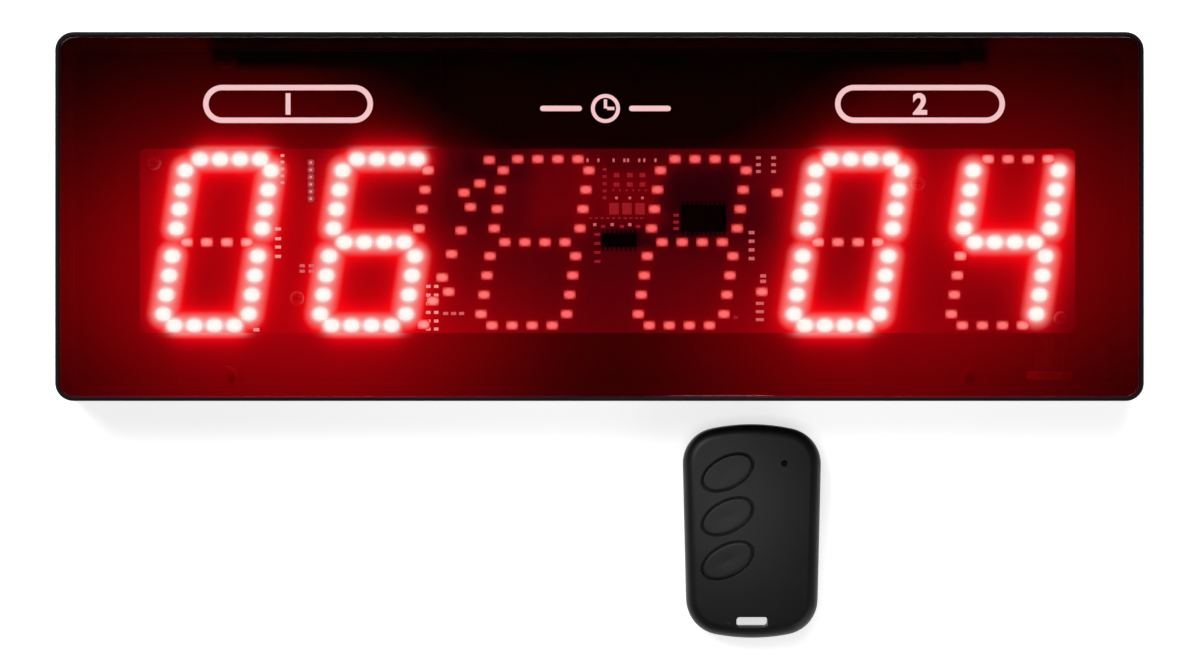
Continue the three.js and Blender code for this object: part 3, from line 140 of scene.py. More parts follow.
# Remote
REMOTE_CENTRE = np.array([42.45, -87.25]) * MM
REMOTE_LENGTH = 59.4 * MM
REMOTE_HALF_WIDTHS = (19.2 * MM, 18.3 * MM)
REMOTE_ARC = 53.5 * MM
REMOTE_CORNER = 10 * MM
REMOTE_HEIGHT = 15 * MM
REMOTE_PARTING = (6.5 * MM, 6.8 * MM)
REMOTE_EDGES = (2.4 * MM, 3.2 * MM)
REMOTE_WALL = 1.6 * MM
REMOTE_TOP_WALL = 1.4 * MM
CROWN = (0.8 * MM, 1.2 * MM)
SLOT = (8.7 * MM, 2.7 * MM, -25.2 * MM)
SLOT_WALL = 1.2 * MM
KEY_WELL = (7.9 * MM, 4.55 * MM)
KEY_TILT = np.radians(28)
KEY_X = -6.9 * MM
KEY_YS = (16.4 * MM, 4.15 * MM, -8.1 * MM)
KEY_GAP = 0.35 * MM
KEY_FLANGE = 0.5 * MM
KEY_PROUD = 0.25 * MM
KEY_DOME = 0.12 * MM
INDICATOR = (8.9 * MM, 18.9 * MM, 0.85 * MM)
REMOTE_SCREWS = ((13.2 * MM, 10.5 * MM), (-13 * MM, -17 * MM))
# Cutters of the remote: foot and edge of each, and the screws' towers and stepped holes
WELL_FOOT, SKIN_PLAY = 8.6 * MM, 0.3 * MM
INDICATOR_CUT, SLOT_CUT = (9 * MM, 0.15 * MM), (2 * MM, 0.4 * MM)
REAR_ROOM_TOP = 9 * MM
SCREW_TOWER = (2.3 * MM, 0.8 * MM, 8.35 * MM)
SCREW_HOLE = np.array([(0, -1), (2.1, -1), (2.1, 1.4), (1.1, 1.4), (1.1, 9), (0, 9)]) * MM

# Stage: middle and width of the picture, the height that they hold for, and the studio lamps
PICTURE_CENTRE = (0.14 * MM, -32.8 * MM)
PICTURE_WIDTH = 330.6 * MM
PICTURE_HEIGHT_OF_SCALE = 30 * MM
CAMERA_LENS, CAMERA_CLIP = (200, 36), (0.05, 50)
FLOOR_SIZE, FLOOR_DROP = 12, 0.0001
FLOOR_BENEATH = (148 * MM, 49 * MM)
STUDIO_LAMPS = (
    ("key_lamp", (-0.6, 0.62, 1.5), (0, -0.03, 0), 0.6, 15),
    ("fill_lamp", (0.3, 1.7, 1.0), (0, -0.03, 0), 1.2, 21),
    ("front_lamp", (1.2, -1.3, 0.7), (0, -0.03, 0), 1.2, 8),
    ("remote_lamp", (0.036, -0.08, 0.15), (0.036, -0.08, 0), 0.03, 0.03),
)

SMOOTH_ANGLE = 32
CLOSE_POINTS = 0.0008 * MM


# Settings
def colour_setting(name, description, default):
    """A linear colour that the user can change."""
    return FloatVectorProperty(name=name, description=description, subtype="COLOR", default=default)


def length_setting(name, description, default, low, high):
    """A length that the user can change, in metres."""
    limits = {"default": default, "min": low, "max": high}
    return FloatProperty(name=name, description=description, subtype="DISTANCE", unit="LENGTH", **limits)


class ScoreboardColours(bpy.types.PropertyGroup):
    """Colours of the surfaces, linear."""

    case: colour_setting("Case", "Black moulded case", (0.004, 0.0038, 0.004))
    panel: colour_setting("Panel", "Tint of the clear front panel", (0.72, 0.05, 0.07))
    ink: colour_setting("Ink", "Marks printed on the panel", (1.0, 0.57, 0.58))
    board: colour_setting("Board", "Solder resist of the display board", (0.012, 0.003, 0.004))
    remote: colour_setting("Remote", "Charcoal shell of the remote", (0.0021, 0.0023, 0.0027))
    key: colour_setting("Key", "Keys of the remote", (0.0024, 0.0027, 0.0027))
    floor: colour_setting("Floor", "Plain pale floor", (0.86, 0.86, 0.86))


class ScoreboardSizes(bpy.types.PropertyGroup):
    """Sizes and levels that change how the surfaces look."""

    floor_light: FloatProperty(
        name="Floor light", description="Light added to the floor where it shows", default=0.7, min=0, max=1
    )
    grid: length_setting("Glow grid", "Spacing of the board's surface points", 0.0005, 0.0003, 0.002)
    grain: length_setting("Grain", "Size of the moulded grain", 0.00035, 0.0001, 0.002)
    well_round: length_setting("Well edge", "Rounding of the edges of the key wells", 0.00035, 0.0001, 0.0008)
    key_round: length_setting("Key edge", "Rounding of the edges of the keys", 0.0006, 0.0002, 0.001)


# Surfaces
# A surface is a pair: an array of points, and a list of arrays of corner numbers.
def grid_faces(rows, columns, wrap_columns=False, wrap_rows=False):
    """Four-cornered faces between neighbouring rows and columns of a grid of points."""
    row = np.arange(rows if wrap_rows else rows - 1)[:, None]
    column = np.arange(columns if wrap_columns else columns - 1)[None, :]
    up, right = (row + 1) % rows, (column + 1) % columns
    corners = [row * columns + column, row * columns + right, up * columns + right, up * columns + column]
    return np.stack(np.broadcast_arrays(*corners), -1).reshape(-1, 4)


def fan(ring, centre, inward=False):
    """Triangles from each edge of a ring of corner numbers to one centre point."""
    faces = np.stack([ring, np.roll(ring, -1), np.full(len(ring), centre)], -1)
    return faces[:, ::-1] if inward else faces


def lofted(rings):
    """Skin over rings of equal count; each end ring closes on a point in its middle.

    Ring i, point j is joined to i+1, j and to i, j+1, and the last j to the first.
    """
    rings = np.asarray(rings, float)
    count, around = rings.shape[:2]
    points = np.concatenate([rings.reshape(-1, 3), [rings[0].mean(0), rings[-1].mean(0)]])
    foot = fan(np.arange(around), count * around, inward=True)
    top = fan(np.arange(around) + (count - 1) * around, count * around + 1)
    return points, [grid_faces(count, around, wrap_columns=True), foot, top]


def flat(outline, height):
    """An outline of x, y points lifted to a height, one for all or one for each."""
    return np.column_stack([outline, np.broadcast_to(height, len(outline))]).astype(float)


def turns(count):
    """Angles of equal steps once round."""
    return np.arange(count) * 2 * np.pi / count


def arc(angles, half_x, half_y=None):
    """Points (a cos t, b sin t) at the angles t; b is a where it isn't given."""
    return np.column_stack([half_x * np.cos(angles), (half_x if half_y is None else half_y) * np.sin(angles)])


def rounded_outline(width, height, radius, steps=8):
    """Rounded rectangle: four quarter circles of the radius about its inner corners, anticlockwise."""
    angles = np.linspace(0, np.pi / 2, steps + 1) + np.arange(4)[:, None] * np.pi / 2
    corners = np.repeat([[1, 1], [-1, 1], [-1, -1], [1, -1]], steps + 1, axis=0)
    return corners * [width / 2 - radius, height / 2 - radius] + arc(angles.ravel(), radius)


def quarter_bend(radius, count):
    """(inset, fall) of a quarter circle from a side up to a top: r (1 - cos a) and r (1 - sin a)."""
    angle = np.linspace(0, np.pi / 2, count)
    return radius * np.column_stack([1 - np.cos(angle), 1 - np.sin(angle)])


def prism(outline, low, high):
    """An outline pulled straight up from one height to another."""
    return lofted([flat(outline, low), flat(outline, high)])


def swept_frame(width, height, profile, steps=10):
    """A closed profile of (inset, corner radius, z) carried round a rounded rectangle."""
    rings = [
        flat(rounded_outline(width - 2 * inset, height - 2 * inset, radius, steps), z)
        for inset, radius, z in profile
    ]
    return np.concatenate(rings), [grid_faces(len(rings), len(rings[0]), wrap_columns=True, wrap_rows=True)]


def revolved(profile, sides):
    """Points (radius, z), foot to top up the outside, turned about Z: x = r cos a, y = r sin a."""
    return lofted([flat(arc(turns(sides), max(radius, 1e-7)), z) for radius, z in profile])


def cylinder(radius, low, high, sides=32):
    """A round block between two heights."""
    return revolved([(0, low), (radius, low), (radius, high), (0, high)], sides)


def box_surface(length, width, height, draft=0.0):
    """A block standing on z = 0 whose top is smaller by the draft on each side."""
    foot = np.array([[-1, -1], [1, -1], [1, 1], [-1, 1]]) * [length / 2, width / 2]
    sides = [[0, 1, 5, 4], [1, 2, 6, 5], [2, 3, 7, 6], [3, 0, 4, 7], [3, 2, 1, 0], [4, 5, 6, 7]]
    return np.concatenate([flat(foot, 0), flat(foot - np.sign(foot) * draft, height)]), [np.array(sides)]


def moved(surface, x=0.0, y=0.0, z=0.0):
    """The surface shifted by x, y, z."""
    return surface[0] + np.array([x, y, z]), surface[1]


def together(*surfaces):
    """Several surfaces as one."""
    points, faces, first = [], [], 0
    for part_points, part_faces in surfaces:
        points.append(part_points)
        faces.extend(part + first for part in part_faces)
        first += len(part_points)
    return np.concatenate(points), faces


def repeated(surface, places):
    """The surface once at each x, y, z place."""
    points, faces = surface
    first = (np.arange(len(places)) * len(points))[:, None, None]
    all_points = (np.asarray(places)[:, None, :] + points[None, :, :]).reshape(-1, 3)
    return all_points, [(part[None, :, :] + first).reshape(-1, part.shape[1]) for part in faces]


def to_mesh(name, surface, smooth_angle=SMOOTH_ANGLE):
    """Writes a surface into a mesh; faces that meet at more than the angle keep a sharp edge."""
    points, faces = surface
    mesh = bpy.data.meshes.new(name)
    corners = np.concatenate([part.ravel() for part in faces]).astype(np.int32)
    sizes = np.concatenate([np.full(len(part), part.shape[1]) for part in faces])
    starts = np.concatenate([[0], np.cumsum(sizes)[:-1]]).astype(np.int32)
    mesh.vertices.add(len(points))
    mesh.vertices.foreach_set("co", np.asarray(points, np.float32).ravel())
    mesh.loops.add(len(corners))
    mesh.loops.foreach_set("vertex_index", corners)
    mesh.polygons.add(len(sizes))
    mesh.polygons.foreach_set("loop_start", starts)
    mesh.update(calc_edges=True)
    mesh.validate()
    shade(mesh, smooth_angle)
    return mesh


def shade(mesh, smooth_angle):
    """Smooth shading that breaks at edges sharper than the angle in degrees."""
    mesh.polygons.foreach_set("use_smooth", np.ones(len(mesh.polygons), bool))
    mesh.set_sharp_from_angle(angle=np.radians(smooth_angle))


def new_object(name, data):
    """An object in the scene that shows the data."""
    item = bpy.data.objects.new(name, data)
    bpy.context.scene.collection.objects.link(item)
    return item


def place_piece(mesh, material, replaces=(), body="scoreboard"):
    """Puts a finished mesh into the scene, on its body, in place of the CAD nodes that it stands for."""
    piece = new_object(mesh.name, mesh)
    mesh.materials.clear()
    mesh.materials.append(bpy.data.materials[material])
    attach(piece, body)
    if replaces:
        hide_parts(*replaces)


def evaluated_mesh(item):
    """What an object shows, with its modifiers or as a text, as a new mesh."""
    bpy.context.view_layer.update()
    return bpy.data.meshes.new_from_object(item.evaluated_get(bpy.context.evaluated_depsgraph_get()))


def carved(name, base, steps):
    """Base surface with other closed surfaces or meshes taken away or added, one after the other."""
    mesh = to_mesh(name, base)
    for operation, tool in steps:
        tool = to_mesh(name + "_tool", tool) if isinstance(tool, tuple) else tool
        body, helper = new_object(name + "_work", mesh), new_object(name + "_tool", tool)
        modifier = body.modifiers.new("carve", "BOOLEAN")
        modifier.operation, modifier.object, modifier.solver = operation, helper, "EXACT"
        shaped = evaluated_mesh(body)
        for item in (body, helper):
            bpy.data.objects.remove(item)
        for used in (mesh, tool):
            bpy.data.meshes.remove(used)
        mesh = shaped
        merge_close_points(mesh, CLOSE_POINTS)
    mesh.name = name
    shade(mesh, SMOOTH_ANGLE)
    return mesh


def merge_close_points(mesh, reach):
    """Joins points closer than the reach and drops the edges and faces that this empties."""
    work = bmesh.new()
    work.from_mesh(mesh)
    bmesh.ops.remove_doubles(work, verts=work.verts, dist=reach)
    bmesh.ops.dissolve_degenerate(work, edges=work.edges, dist=reach)
    work.to_mesh(mesh)
    work.free()


def store_glow(mesh, colours):
    """Stores one colour for each point, the light that it gives, for the material to read."""
    layer = mesh.attributes.new("glow", "FLOAT_COLOR", "POINT")
    colours = np.column_stack([colours, np.ones(len(colours))])
    layer.data.foreach_set("color", colours.astype(np.float32).ravel())


def mesh_points(mesh):
    """All points of a mesh as an array."""
    points = np.zeros(len(mesh.vertices) * 3, np.float32)
    mesh.vertices.foreach_get("co", points)
    return points.reshape(-1, 3).astype(float)


def middle_of(node):
    """Middle of the box of a CAD node."""
    low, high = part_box(node)
    return (low + high) / 2


def board_top():
    """Height of the front face of the board."""
    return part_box("programming_header")[0].z - 0.125 * MM


# Lamps and their glow
def segment_places(segment):
    """The four lamps of one segment, from the digit's middle."""
    steps = np.array([-1.5, -0.5, 0.5, 1.5])
    if segment in "agd":
        row = {"a": 1, "g": 0, "d": -1}[segment]
        return slanted(np.column_stack([steps * ROW_PITCH, np.full(4, row * DIGIT_HALF_HEIGHT)]))
    half, side = (1 if segment in "fb" else -1), (-1 if segment in "fe" else 1)
    y = half * (DIGIT_HALF_HEIGHT / 2 + COLUMN_SPREAD) + steps * COLUMN_PITCH
    return slanted(np.column_stack([np.full(4, side * DIGIT_HALF_WIDTH), y]))


def slanted(places):
    """x grows by y times the slant."""
    return places + np.column_stack([places[:, 1] * SLANT, np.zeros(len(places))])


def digit_middle(index):
    """x of the middle of a digit, counted from 0 at the left."""
    return DISPLAY[0] + (index - 2.5) * DIGIT_PITCH + PAIR_SHIFTS[index // 2]


def lamp_places():
    """Places of the lit lamps, their cores' spread across and along, and places of the dark lamps."""
    lit, spread, dark = [], [], []
    for index, segments in enumerate(LIT_SEGMENTS):
        for segment in "abcdefg":
            places = segment_places(segment) + [digit_middle(index), DISPLAY[1]]
            if segment in segments:
                lit.append(places)
                spread.append(np.tile(CORE_SPREADS["row" if segment in "agd" else "column"], (4, 1)))
            else:
                dark.append(places)
    for side, shift in ((-1, PAIR_SHIFTS[1]), (1, PAIR_SHIFTS[2])):
        dots = slanted(np.array([[0, -COLON_HALF_HEIGHT], [0, COLON_HALF_HEIGHT]]))
        dark.append(dots + DISPLAY + [side * DIGIT_PITCH + shift, 0])
    stroke = (np.arange(8)[:, None] - 3.5) * STROKE_PITCH
    dark.append(stroke + DISPLAY + [PAIR_SHIFTS[1] - DIGIT_PITCH, 0])
    return np.concatenate(lit), np.concatenate(spread), np.concatenate(dark)


def line_share(points, lit):
    """1 - (d / reach)^2, with d the distance to the nearest line of four lit lamps; rows reach less far."""
    lines = lit.reshape(-1, 4, 2)
    start, along = lines[:, 0], lines[:, 3] - lines[:, 0]
    is_row = np.abs(along[:, 1]) < np.abs(along[:, 0])
    reach = np.where(is_row, HALO_REACH_OF_ROW, HALO_REACH_OF_COLUMN)
    offset = points[:, None] - start[None]
    share = np.clip((offset * along).sum(-1) / (along**2).sum(-1), 0, 1)
    away = np.linalg.norm(offset - share[..., None] * along, axis=-1)
    return np.clip(1 - (away / reach) ** 2, 0, 1).max(1)


def lamp_light(offsets, level, reach, power):
    """Sum over the lamps of level / (1 + (distance / reach)^power), from the offsets to each of them."""
    return (level / (1 + (np.linalg.norm(offsets, axis=-1) / reach) ** power)).sum(1)


def glow_at(points, tint):
    """Light that the lit lamps leave on the board, at each x, y, as it looks through the tinted panel.

    Red is a near and a wide share of each lit lamp, a little at each dark one, and a wide bell curve round
    each lit digit, in which patches of painted shade and painted light are darker or brighter: there the
    factor holds inside a soft rectangle, 1 / (1 + (dx / hx)^6 + (dy / hy)^6). Green and blue, which make the
    white middle and the pink edge, are an oval core at each lit lamp and a halo along each line of lit lamps.
    """
    lit, spread, dark = lamp_places()
    points = np.asarray(points)[:, :2]
    red, white = np.zeros(len(points)), np.zeros(len(points))
    for first in range(0, len(points), 20000):
        part = slice(first, first + 20000)
        to_lit, to_dark = points[part, None, :] - lit[None], points[part, None, :] - dark[None]
        red[part] = lamp_light(to_lit, *RED_NEAR) + lamp_light(to_lit, *RED_WIDE)
        red[part] += lamp_light(to_dark, *RED_OF_DARK)
        halo = HALO_LEVEL * line_share(points[part], lit) ** HALO_POWER
        white[part] = lamp_light(to_lit / spread[None], *WHITE_CORE) + halo
    base = np.full(len(points), BOARD_RED_LIGHT)
    for digit, level, height in BOARD_SPILL:
        away = (points - [digit_middle(digit), height]) / BOARD_SPILL_REACH
        base += level * np.exp(-(away**2).sum(1))
    # Painted shade and painted light: each patch scales the board's red lamp light
    for x, y, half_x, half_y, factor in BOARD_SHADE_AND_LIGHT_PATCHES:
        away = (points / MM - [x, y]) / [half_x, half_y]
        base *= 1 + (factor - 1) / (1 + (away**6).sum(1))
    red, white = np.clip(red + base, 0, BRIGHTEST), np.clip(white, 0, 1)
    blue = BLUE_OF_WHITE * white + LEAST_BLUE * (1 + red)
    return np.stack([red, GREEN_OF_WHITE * white, blue], -1) / np.asarray(tint)


# Shader building
def arithmetic(operation, turned=False):
    """A method that adds a math node for a value and another one; turned swaps the two."""
    return lambda a, b=0.0: a.tree.math(operation, *((b, a) if turned else (a, b)))


class Value:
    """The output of a node, which can be reckoned with: each sign of arithmetic adds a math node."""

    def __init__(self, tree, socket):
        self.tree, self.socket = tree, socket

    __add__ = __radd__ = arithmetic("ADD")
    __sub__, __rsub__ = arithmetic("SUBTRACT"), arithmetic("SUBTRACT", turned=True)
    __mul__ = __rmul__ = arithmetic("MULTIPLY")
    __truediv__, __rtruediv__ = arithmetic("DIVIDE"), arithmetic("DIVIDE", turned=True)
    __pow__, __rpow__ = arithmetic("POWER"), arithmetic("POWER", turned=True)
    __gt__, __lt__ = arithmetic("GREATER_THAN"), arithmetic("LESS_THAN")
    __abs__ = arithmetic("ABSOLUTE")
    or_more, or_less = arithmetic("MAXIMUM"), arithmetic("MINIMUM")


class Tree:
    """Adds nodes to one node tree; an input is a plain value or the output of another node."""

    def __init__(self, tree):
        self.tree = tree

    def feed(self, socket, value):
        value = getattr(value, "socket", value)
        if isinstance(value, bpy.types.NodeSocket):
            self.tree.links.new(value, socket)
        else:
            socket.default_value = value

    def put(self, node, key, value):
        self.feed(node.inputs[key], value)

    def add(self, kind, inputs=None, **settings):
        node = self.tree.nodes.new(kind)
        for key, value in settings.items():
            setattr(node, key, value)
        for key, value in (inputs or {}).items():
            self.put(node, key, value)
        return node

    def read(self, kind, output, inputs=None, **settings):
        """One output of a new node."""
        return Value(self, self.add(kind, inputs, **settings).outputs[output])

    def outputs(self, node):
        """Every output of a node, by its name."""
        return {socket.name: Value(self, socket) for socket in node.outputs}

    def math(self, operation, a, b):
        return self.read("ShaderNodeMath", "Value", {0: a, 1: b}, operation=operation)

    def noise(self, vector, scale, detail=2.0, roughness=0.5):
        inputs = {"Vector": vector, "Scale": scale, "Detail": detail, "Roughness": roughness}
        return self.read("ShaderNodeTexNoise", "Fac", inputs)

    def mix(self, share, a, b):
        """Colour a at share 0, colour b at share 1."""
        node = self.add("ShaderNodeMix", {"Factor": share}, data_type="RGBA")
        for socket, value in zip([socket for socket in node.inputs if socket.type == "RGBA"], (a, b)):
            self.feed(socket, value)
        return Value(self, next(socket for socket in node.outputs if socket.type == "RGBA"))

    def ramp(self, value, low, high, ends="From"):
        """0 up to low, 1 from high on, straight between."""
        inputs = {"Value": value, f"{ends} Min": low, f"{ends} Max": high}
        return self.read("ShaderNodeMapRange", "Result", inputs)

    def between(self, value, low, high):
        """Value 0..1 spread over low..high."""
        return self.ramp(value, low, high, ends="To")

    def place(self):
        """Each point's place in its own object, which is its place in the model."""
        return self.read("ShaderNodeTexCoord", "Object")

    def stretched(self, *factors):
        """The place with each axis times its factor."""
        inputs = {0: self.place(), 1: factors}
        return self.read("ShaderNodeVectorMath", "Vector", inputs, operation="MULTIPLY")

    def axes(self, vector):
        """X, Y and Z of a vector."""
        return self.outputs(self.add("ShaderNodeSeparateXYZ", {0: vector}))

    def group(self, name, **inputs):
        return self.outputs(self.add("ShaderNodeGroup", inputs, node_tree=bpy.data.node_groups[name]))

    def bump(self, height, distance, strength):
        inputs = {"Height": height, "Distance": distance, "Strength": strength}
        return self.read("ShaderNodeBump", "Normal", inputs)


def new_group(name, inputs, outputs):
    """An empty node group of number sockets: its tree, its given inputs and its end node."""
    group = bpy.data.node_groups.new(name, "ShaderNodeTree")
    for socket, value in inputs.items():
        made = group.interface.new_socket(socket, in_out="INPUT", socket_type="NodeSocketFloat")
        made.default_value = value
    for socket in outputs:
        group.interface.new_socket(socket, in_out="OUTPUT", socket_type="NodeSocketFloat")
    tree = Tree(group)
    return tree, tree.outputs(tree.add("NodeGroupInput")), tree.add("NodeGroupOutput")


def moulded_grain_group():
    """Fine spark-eroded grain: small noise and pits for the height, a slow noise for the tone."""
    tree, given, made = new_group("moulded grain", {"Size": 0.0003}, ("Height", "Tone"))
    place, scale = tree.place(), 1.0 / given["Size"]
    pits = tree.read("ShaderNodeTexVoronoi", "Distance", {"Vector": place, "Scale": scale})
    tree.put(made, "Height", tree.noise(place, scale, 3.0, 0.6) + pits * 0.5)
    tree.put(made, "Tone", tree.noise(place, scale * 0.03, 4.0, 0.55))


def handled_edges_group():
    """Edges rubbed smooth by handling: the piece's own edge value, broken up by noise."""
    tree, given, made = new_group("handled edges", {"Edge": 0.0, "Size": 0.002}, ("Rubbed",))
    patches = tree.noise(tree.place(), 1.0 / given["Size"], 5.0, 0.6)
    tree.put(made, "Rubbed", given["Edge"] * tree.ramp(patches, 0.35, 0.7))


def dust_group():
    """Sparse pale specks and a faint film of dust."""
    tree, given, made = new_group("dust", {"Amount": 0.2}, ("Dust",))
    place = tree.place()
    specks = tree.ramp(tree.noise(place, 900.0), 0.72, 0.8)
    film = tree.ramp(tree.noise(place, 40.0, 5.0, 0.6), 0.4, 0.9)
    tree.put(made, "Dust", (specks + film * 0.25) * given["Amount"])


def brushed_lines_group():
    """Fine lines along X, from noise stretched sixty times, and a slow tone."""
    tree, given, made = new_group("brushed lines", {"Scale": 3000.0}, ("Height", "Tone"))
    tree.put(made, "Height", tree.noise(tree.stretched(0.016, 1.0, 1.0), given["Scale"], 3.0, 0.6))
    tree.put(made, "Tone", tree.noise(tree.place(), 200.0, 3.0))


def bell(place, centre_x, centre_y, reach_x, reach_y):
    """exp(-((x - centre) / reach)^2 - ((y - centre) / reach)^2)."""
    across, along = (place["X"] - centre_x) / reach_x, (place["Y"] - centre_y) / reach_y
    return np.e ** ((across * across + along * along) * -1.0)


def row_light(place, digit, end):
    """Light past the board's edge beside the outer row of a digit: a red band and its pale core.

    Across, 1 / (1 + (dx / 10.5 mm)^6), and to the 14th for the pale core; away from the row,
    (1 + (d / 4 mm)^4)^-0.9 for the red and 0.68 (1 - (d / 4.1 mm)^2)^2.5 for the pale core. Seen from
    above the picture's middle, what lies below the upper rows is shifted up by their height over it.
    """
    row_x = digit_middle(digit) + end * DIGIT_HALF_HEIGHT * SLANT
    row_y = DISPLAY[1] + end * DIGIT_HALF_HEIGHT + (UPPER_ROW_SHIFT if end > 0 else 0)
    across, past = abs((place["X"] - row_x) / ROW_HALF_LENGTH), abs(place["Y"] - row_y)
    red = 1.0 / (across**6.0 + 1.0) * ((past / ROW_RED_REACH) ** 4.0 + 1.0) ** -0.9
    pale = (1.0 - (past / HALO_REACH_OF_ROW) ** 2.0).or_more(0.0) ** 2.5 * ROW_PALE / (across**14.0 + 1.0)
    return red, pale


def inlet_bore(place):
    """1 in the bore of the power inlet and in its hole through the wall, where no lamp's light gets."""
    middle = middle_of("power_inlet")
    across, rise = place["X"] - middle.x, place["Z"] - middle.z
    away = across * across + rise * rise
    bore = (away < BORE_RADIUS**2) * (place["Y"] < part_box("power_inlet")[1].y)
    hole = (away < WALL_HOLE_RADIUS**2) * (place["Y"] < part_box("case_frame")[0].y + CASE_WALL)
    return bore.or_more(hole)


def inside_glow_group():
    """Light of the lit digits on whatever lies inside the case.

    The red is a sum over the four lit digits of level * exp(-(dx / 44.5 mm)^2 - (dy / 35.9 mm)^2), with a
    band beside each lit row at the board's long edges. A strip along the top, the middle above the board
    and the tops of the two lower screw bosses lie in shade. It is kept to the space inside the walls'
    rounded outline, out of the inlet's bore, and to faces that don't look back.
    """
    tree, _, made = new_group("glow inside case", {}, ("Glow", "Pale"))
    place = tree.axes(tree.place())
    total, pale_total = 0.0, 0.0
    for digit, level, height in CASE_SPILL:
        total = bell(place, digit_middle(digit), height, *CASE_SPILL_REACH) * level + total
    for digit, end in OUTER_ROWS:
        red, pale = row_light(place, digit, end)
        total, pale_total = red + total, pale + pale_total
    aside = abs(place["X"] - MIDDLE_PLACE[0]) - (place["Y"] - MIDDLE_PLACE[1]) * MIDDLE_SLOPE
    for across, (share, x_ends, y_ends) in ((abs(place["X"]), TOP_SHADE), (aside, MIDDLE_SHADE)):
        dark = tree.ramp(across, *x_ends) * tree.ramp(place["Y"], *y_ends)
        total = total * (1.0 - dark * share)
    share, boss_xs, boss_y = BOSS_SHADES
    for boss_x in boss_xs:
        total = total * (1.0 - bell(place, boss_x, boss_y, BOSS_SHADE_REACH, BOSS_SHADE_REACH) * share)
    high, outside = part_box("case_frame")[1], 0.0
    for axis, half in (("X", high.x), ("Y", high.y)):
        past = (abs(place[axis]) - (half - CASE_CORNER)).or_more(0.0)
        outside = past * past + outside
    kept = (place["Z"] > INSIDE_ABOVE) * (place["Z"] < high.z - INSIDE_BELOW)
    facing = tree.axes(tree.read("ShaderNodeNewGeometry", "True Normal"))["Z"]
    kept = kept * (outside < (CASE_CORNER - RIM) ** 2) * (1.0 - inlet_bore(place)) * (facing > -0.5)
    tree.put(made, "Glow", total.or_less(1.0) * kept)
    tree.put(made, "Pale", pale_total.or_less(1.0) * kept * (facing > 0.5))


def add_inside_glow(material, tree, shader):
    """Lets a material show the lamps' light where it lies inside the case."""
    light = tree.group("glow inside case")
    red = tree.mix(light["Glow"], (0, 0, 0, 1), INSIDE_RED)
    tree.put(shader, "Emission Color", tree.mix(light["Pale"], red, INSIDE_PALE))
    tree.put(shader, "Emission Strength", INSIDE_STRENGTH)
    material.cycles.emission_sampling = "NONE"


def new_material(name, colour, roughness, **sockets):
    """A Principled material; gives the material, its tree and its shader node."""
    material = bpy.data.materials.new(name)
    material.use_nodes = True
    tree = Tree(material.node_tree)
    shader = material.node_tree.nodes["Principled BSDF"]
    tree.put(shader, "Base Color", (*colour, 1))
    tree.put(shader, "Roughness", roughness)
    for key, value in sockets.items():
        tree.put(shader, key.replace("_", " "), value)
    return material, tree, shader


def shades(tree, share, colour, low, high):
    """A linear colour between two shades of itself, each a factor of it, by a share."""
    ends = [[min(1.0, channel * factor) for channel in colour] for factor in (low, high)]
    return tree.mix(share, (*ends[0], 1), (*ends[1], 1))


def moulded_material(name, colour, roughness, grain, depth, edges=False, glow=False, specular=0.5):
    """Moulded plastic: grain bump, slow tone, dust, and edges rubbed smoother where asked."""
    material, tree, shader = new_material(name, colour, roughness, IOR=1.5, Specular_IOR_Level=specular)
    texture = tree.group("moulded grain", Size=grain)
    tone = shades(tree, texture["Tone"], colour, 0.82, 1.18)
    rough = tree.between(texture["Tone"], roughness * 0.92, roughness * 1.08)
    if edges:
        edge = tree.read("ShaderNodeAttribute", "Fac", attribute_name="edge")
        rubbed = tree.group("handled edges", Edge=edge, Size=0.0025)["Rubbed"]
        tone = tree.mix(rubbed, tone, (*[channel * 1.5 for channel in colour], 1))
        rough = rough - rubbed * 0.1
    dust = tree.group("dust", Amount=0.05)["Dust"]
    tree.put(shader, "Base Color", tree.mix(dust, tone, (0.3, 0.29, 0.28, 1)))
    tree.put(shader, "Roughness", rough)
    tree.put(shader, "Normal", tree.bump(texture["Height"], depth, 0.5))
    if glow:
        add_inside_glow(material, tree, shader)


def patterned_material(
    name, colour, roughness, pattern, tones, spread, depth=0.0, strength=0.4, glow=False, **sockets
):
    """A material broken up by a pattern, a function that gives its tree's tone and height.

    The colour lies between two shades of itself by the tone. By the height, the roughness lies between its
    two factors of spread, if there are any, and the surface goes up and down by the depth.
    """
    material, tree, shader = new_material(name, colour, roughness, **sockets)
    tone, height = pattern(tree)
    tree.put(shader, "Base Color", shades(tree, tone, colour, *tones))
    if spread:
        low, high = (min(1.0, roughness * factor) for factor in spread)
        tree.put(shader, "Roughness", tree.between(height, low, high))
    if depth:
        tree.put(shader, "Normal", tree.bump(height, depth, strength))
    if glow:
        add_inside_glow(material, tree, shader)
    return material, tree, shader


def speckled(scale, detail=4.0, roughness=0.6):
    """A pattern of one noise, for the tone and the height."""
    return lambda tree: (tree.noise(tree.place(), scale, detail, roughness),) * 2


def brushed(tree):
    """Lines of drawn or plated metal."""
    lines = tree.group("brushed lines", Scale=3000.0)
    return lines["Tone"], lines["Height"]


def woven(tree):
    """Glass cloth under solder resist: a faint weave from two crossed waves."""
    inputs = {"Vector": tree.place(), "Scale": 400.0}
    across, along = (tree.read("ShaderNodeTexWave", "Fac", inputs, bands_direction=axis) for axis in "XY")
    return (across * along,) * 2


def hairlines(tree):
    """Light scratches of a polished sheet, and a slow tone."""
    scratches = tree.noise(tree.stretched(1.0, 0.05, 1.0), 1500.0)
    return tree.noise(tree.place(), 20.0), tree.ramp(scratches, 0.55, 0.8)


